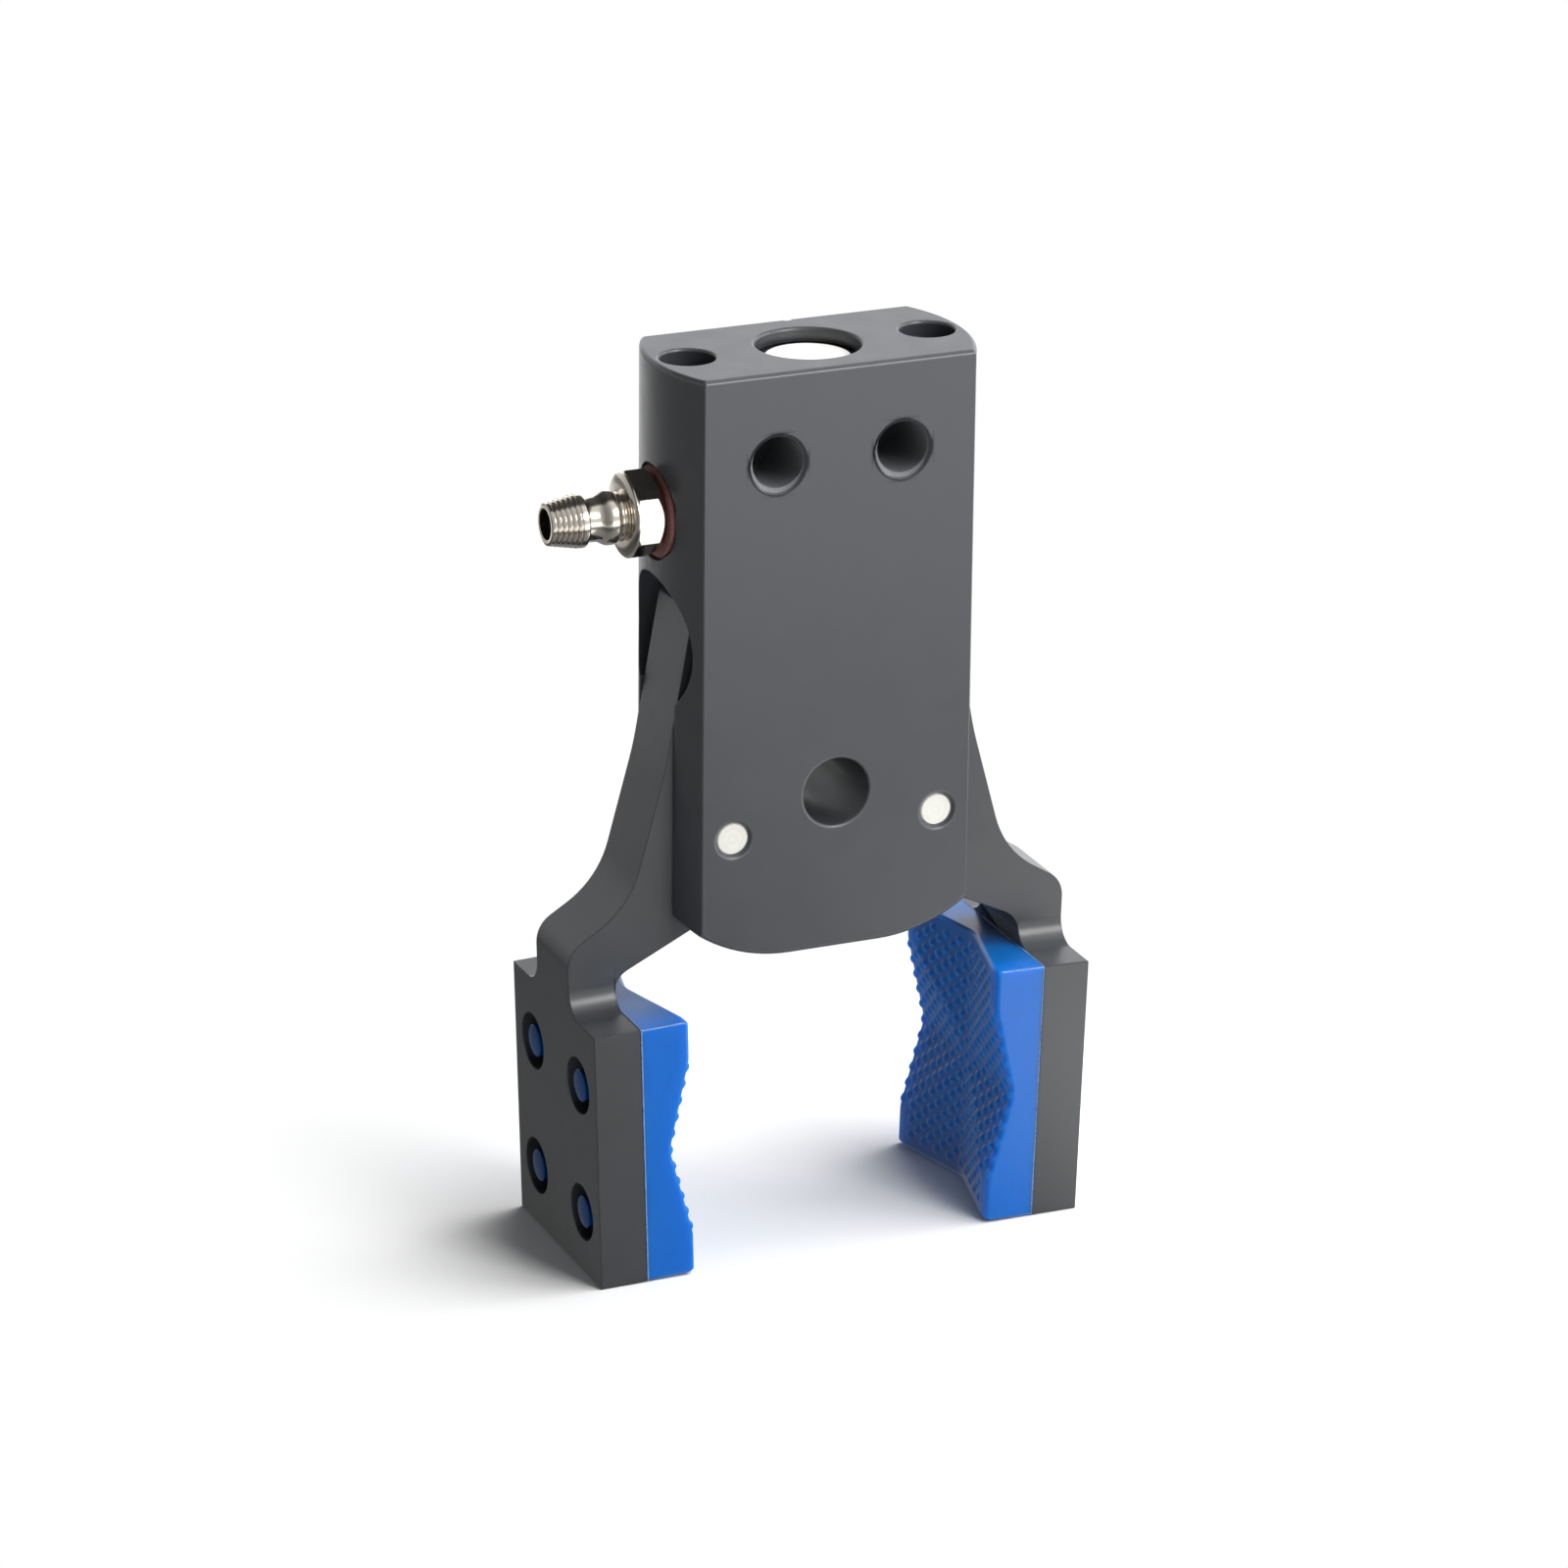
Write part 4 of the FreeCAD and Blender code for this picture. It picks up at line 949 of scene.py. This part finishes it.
class GRIPPER_OT_fitting(bpy.types.Operator):
    """Plated hose fitting and its washer"""
    bl_idname = "gripper.fitting"
    bl_label = "Hose fitting"
    bl_options = {"REGISTER", "UNDO"}

    def execute(self, context):
        shape, finish = settings_of(context)
        steps = shape.turned_steps
        corner = shape.hexagon_width / 2 / math.cos(math.radians(30))
        start_alone()
        bpy.ops.mesh.primitive_cylinder_add(
            vertices=6, radius=corner, depth=shape.hexagon_height,
            location=(0, 0, shape.hexagon_height / 2),
            rotation=(0, 0, math.radians(30) + shape.hexagon_turn))
        hexagon = bpy.context.object
        bpy.ops.object.transform_apply(location=True, rotation=True, scale=True)
        cone = turned("hexagon_cone", mm((3.2, 0.0), (4.3, 1.1), (4.3, 2.45), (3.8, 2.8)), steps)
        cut(hexagon, cone, "INTERSECT")
        bore = turned("hexagon_bore", mm((2.3, -1.0), (2.3, 3.5)), steps)
        cut(hexagon, bore)
        pick(hexagon, "vertices", lambda vertex: True)
        bpy.ops.mesh.dissolve_limited(angle_limit=math.radians(1))
        leave_edit()
        fine_edge, washer_edge = 0.06 * MM, 0.08 * MM
        break_edges(hexagon, fine_edge, limit=25.0)
        shade(hexagon, 35.0)
        shank = turned("shank", mm(
            (2.2, -5.9), (2.5, -5.6), (2.5, 0.2), (2.5, 2.5), (0.9, 2.5), (0.9, -5.9), (2.2, -5.9),
        ), steps)
        shade(shank)
        stem = turned("stem", fitting_profile(), steps)
        shade(stem, 50.0)
        fitting = join([hexagon, shank, stem], "fitting_plated")
        place(fitting, on_port(shape, shape.washer_height))
        spot = on_port(shape, 0).translation
        paint(fitting, ringed("fitting_nickel", finish.nickel, 0.12, spot, (1, 0, 0), feed=9000.0))
        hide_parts("hose_fitting")
        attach(fitting, "gripper")

        inner = 2.6 * MM
        outer = shape.washer_width / 2
        high = shape.washer_height
        washer = turned("washer_cut", [
            (inner, 0), (outer - fine_edge, 0), (outer, washer_edge), (outer, high - washer_edge),
            (outer - fine_edge, high), (inner, high), (inner, 0),
        ], steps)
        shade(washer)
        place(washer, on_port(shape, 0))
        paint(washer, grained("washer_fibre", finish.washer, 0.7, shade_level=0.62,
                              grain_size=3500.0, mottle_size=1200.0, depth=0.02 * MM))
        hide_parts("fitting_washer")
        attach(washer, "gripper")
        return {"FINISHED"}


# Finishes of the CAD nodes that stay


def finish_node(name, material):
    """Give a CAD node its material."""
    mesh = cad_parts[name].data
    if not mesh.materials:
        mesh.materials.append(material)
    for index in range(len(mesh.materials)):
        mesh.materials[index] = material


class GRIPPER_OT_plug(bpy.types.Operator):
    """Finish of the end plug, its ring and its seal"""
    bl_idname = "gripper.plug"
    bl_label = "End plug"
    bl_options = {"REGISTER", "UNDO"}

    def execute(self, context):
        finish = context.scene.gripper_finish
        finish_node("end_plug", ringed("plug_bright", finish.plug, 0.45, (0, 0, 0), (1, 1, 0),
                                       feed=12000.0, shade_level=0.96, metallic=0.15))
        finish_node("plug_retaining_ring", grained("ring_black", finish.ring, 0.45, metallic=0.5))
        finish_node("plug_o_ring", grained("plug_seal", finish.seal, 0.55))
        return {"FINISHED"}


class GRIPPER_OT_works(bpy.types.Operator):
    """Finish of the pins, bushes, pistons, seals and springs"""
    bl_idname = "gripper.works"
    bl_label = "Pins and pistons"
    bl_options = {"REGISTER", "UNDO"}

    def execute(self, context):
        shape, finish = settings_of(context)
        bronze = grained("bush_bronze", finish.bush, 0.4, shade_level=0.7, metallic=0.9)
        rubber = grained("seal_rubber", finish.seal, 0.55)
        steel = grained("spring_steel", finish.spring, 0.3, metallic=1.0, depth=0.001 * MM)
        brass = ringed("piston_brass", finish.piston, 0.22, (0, 0, 0), (1, 0, 0))
        for name, side in SIDES:
            centre = (side * shape.pivot_reach, 0, -shape.pivot_drop)
            ground = ringed("pin_steel_" + name, finish.pin, 0.25, centre, (1, 0, 1), feed=14000.0,
                            shade_level=0.95, metallic=0.35)
            finish_node("pivot_pin_" + name, ground)
            finish_node("contact_pin_" + name, ground)
            finish_node("finger_bush_" + name, bronze)
            finish_node("piston_" + name, brass)
            finish_node("piston_seal_" + name, rubber)
            finish_node("return_spring_" + name, steel)
        return {"FINISHED"}


# Stage


def look_along(camera, stage, floor):
    """Put the camera where the photograph was taken from."""
    a, e, roll = stage.azimuth, stage.elevation, stage.roll
    back = Vector((math.sin(a) * math.cos(e), -math.cos(a) * math.cos(e), math.sin(e)))
    level = Vector((math.cos(a), math.sin(a), 0))
    above = back.cross(level)
    right = level * math.cos(roll) + above * math.sin(roll)
    up = above * math.cos(roll) - level * math.sin(roll)
    spot = back * stage.distance + right * stage.shift_right + up * stage.shift_up
    spot.z += floor
    turn = Matrix((right, up, back)).transposed().to_4x4()
    camera.matrix_world = Matrix.Translation(spot) @ turn


def softbox(name, spot, aim, width, power):
    """Square area lamp at a place, turned to a point."""
    lamp = bpy.data.lights.new(name, "AREA")
    lamp.shape = "RECTANGLE"
    lamp.size = lamp.size_y = width
    lamp.energy = power
    item = bpy.data.objects.new(name, lamp)
    bpy.context.scene.collection.objects.link(item)
    item.location = spot
    item.rotation_euler = (Vector(aim) - Vector(spot)).to_track_quat("-Z", "Y").to_euler()
    return item


def light_world(stage):
    """Soft surroundings, bright to the right and in front, dark to the left and behind overhead."""
    world = bpy.data.worlds.new("studio")
    bpy.context.scene.world = world
    world.use_nodes = True
    tree = world.node_tree
    tree.nodes.clear()
    link = tree.links.new
    _, parts = coordinates(tree, "Generated")
    rightwards = ramp(tree, parts["X"], -0.85, 0.45, 0.24, 1.0)
    behind = ramp(tree, parts["Y"], -0.3, 0.0, 0.0, 1.0)
    overhead = ramp(tree, parts["Z"], 0.42, 0.56, 0.0, 0.95)
    backdrop = ramp(tree, parts["Y"], -0.6, 0.6, 0.65, 1.4)
    dark = combined(tree, "MULTIPLY", behind, overhead)
    open_part = combined(tree, "SUBTRACT", 1.0, dark)
    sides = combined(tree, "MULTIPLY", rightwards, open_part)
    pattern = combined(tree, "MULTIPLY", sides, backdrop)
    path = node(tree, "ShaderNodeLightPath")
    level = node(tree, "ShaderNodeMapRange", to_min=stage.ambient, to_max=stage.mirrored)
    link(path.outputs["Is Glossy Ray"], level.inputs["Value"])
    soft = node(tree, "ShaderNodeBackground", color=(0.97, 0.985, 1.0, 1.0))
    link(combined(tree, "MULTIPLY", pattern, level.outputs[0]), soft.inputs["Strength"])
    white = node(tree, "ShaderNodeBackground", strength=1.0, color=(1, 1, 1, 1))
    seen = mixed(tree, path.outputs["Is Camera Ray"], soft.outputs[0], white.outputs[0])
    link(seen, node(tree, "ShaderNodeOutputWorld").inputs["Surface"])


def floor_material(stage):
    """Matt white that keeps the shadows near the object and is plain white far away."""
    material, tree, shader = new_material("floor_white", 0.0, roughness=0.9, specular_ior_level=0.1)
    tone = stage.floor_tone
    shader.inputs["Base Color"].default_value = (tone, tone, tone, 1)
    link = tree.links.new
    where, parts = coordinates(tree, "Object")
    flat = node(tree, "ShaderNodeVectorMath", operation="MULTIPLY")
    flat.inputs[1].default_value = (1, 1, 0)
    link(where, flat.inputs[0])
    length_of = node(tree, "ShaderNodeVectorMath", operation="LENGTH")
    link(flat.outputs[0], length_of.inputs[0])
    reach = length_of.outputs["Value"]
    path = node(tree, "ShaderNodeLightPath")
    far = ramp(tree, reach, 0.026, 0.07, 0.0, 1.0)
    plain = node(tree, "ShaderNodeEmission", color=(1, 1, 1, 1), strength=1.0)
    far_seen = combined(tree, "MULTIPLY", path.outputs["Is Camera Ray"], far)
    for_camera = mixed(tree, far_seen, shader.outputs[0], plain.outputs[0])
    glow = node(tree, "ShaderNodeEmission", color=(1, 1, 1, 1))
    rightwards = ramp(tree, parts["X"], -0.2, 0.06, 0.15, stage.mirrored)
    near_right = ramp(tree, parts["X"], 0.012, 0.045, 0.25, 1.6)
    inner_ring = ramp(tree, reach, 0.075, 0.115, 1.0, 0.0)
    outer_ring = ramp(tree, reach, 0.135, 0.2, 0.15, 1.5)
    near = combined(tree, "MULTIPLY", near_right, inner_ring)
    outwards = combined(tree, "MAXIMUM", near, outer_ring)
    link(combined(tree, "MULTIPLY", rightwards, outwards), glow.inputs["Strength"])
    surface = mixed(tree, path.outputs["Is Glossy Ray"], for_camera, glow.outputs[0])
    link(surface, tree.nodes["Material Output"].inputs["Surface"])
    return material


class GRIPPER_OT_stage(bpy.types.Operator):
    """Floor, lamps, world and camera"""
    bl_idname = "gripper.stage"
    bl_label = "Stage"
    bl_options = {"REGISTER", "UNDO"}

    def execute(self, context):
        stage = context.scene.gripper_stage
        level = CAD_BOX[0][2]
        start_alone()
        bpy.ops.mesh.primitive_circle_add(
            vertices=64, radius=2.5, fill_type="NGON", location=(0, 0, level))
        floor = bpy.context.object
        floor.name = "floor"
        bpy.ops.object.transform_apply(location=True, rotation=True, scale=True)
        paint(floor, floor_material(stage))

        middle = (0, 0, level / 2)
        key = softbox("key_softbox", (0.36, -0.03, 0.56), middle, 0.7, stage.key_power)
        key.visible_glossy = False
        softbox("side_softbox", (0.51, -0.06, 0.24), middle, 0.12, stage.glint_power)
        softbox("front_softbox", (0.25, -0.5, 0.32), middle, 0.24, stage.fill_power)
        light_world(stage)

        camera = bpy.data.objects.new("camera", bpy.data.cameras.new("camera"))
        context.scene.collection.objects.link(camera)
        camera.data.lens = stage.lens
        camera.data.sensor_width = 36
        camera.data.clip_start, camera.data.clip_end = 0.01, 20
        look_along(camera, stage, level)
        context.scene.camera = camera
        context.scene.view_settings.view_transform = "Standard"
        return {"FINISHED"}


class GRIPPER_PT_tools(bpy.types.Panel):
    """Lists the steps that dress the gripper"""
    bl_idname = "GRIPPER_PT_tools"
    bl_label = "Mini gripper"
    bl_space_type = "VIEW_3D"
    bl_region_type = "UI"
    bl_category = "Gripper"

    def draw(self, context):
        for step in STEPS:
            self.layout.operator(step.bl_idname)


STEPS = (
    GRIPPER_OT_body, GRIPPER_OT_linings, GRIPPER_OT_fingers, GRIPPER_OT_pads,
    GRIPPER_OT_fitting, GRIPPER_OT_plug, GRIPPER_OT_works, GRIPPER_OT_stage,
)
CLASSES = (GripperShape, GripperFinish, GripperStage) + STEPS + (GRIPPER_PT_tools,)
SETTINGS = (
    ("gripper_shape", GripperShape), ("gripper_finish", GripperFinish), ("gripper_stage", GripperStage),
)


def register():
    for item in CLASSES:
        bpy.utils.register_class(item)
    for name, kind in SETTINGS:
        setattr(bpy.types.Scene, name, PointerProperty(type=kind))


def unregister():
    for name, _ in SETTINGS:
        delattr(bpy.types.Scene, name)
    for item in reversed(CLASSES):
        bpy.utils.unregister_class(item)


def main():
    register()
    for step in STEPS:
        group, name = step.bl_idname.split(".")
        getattr(getattr(bpy.ops, group), name)()


if __name__ == "__main__":
    main()
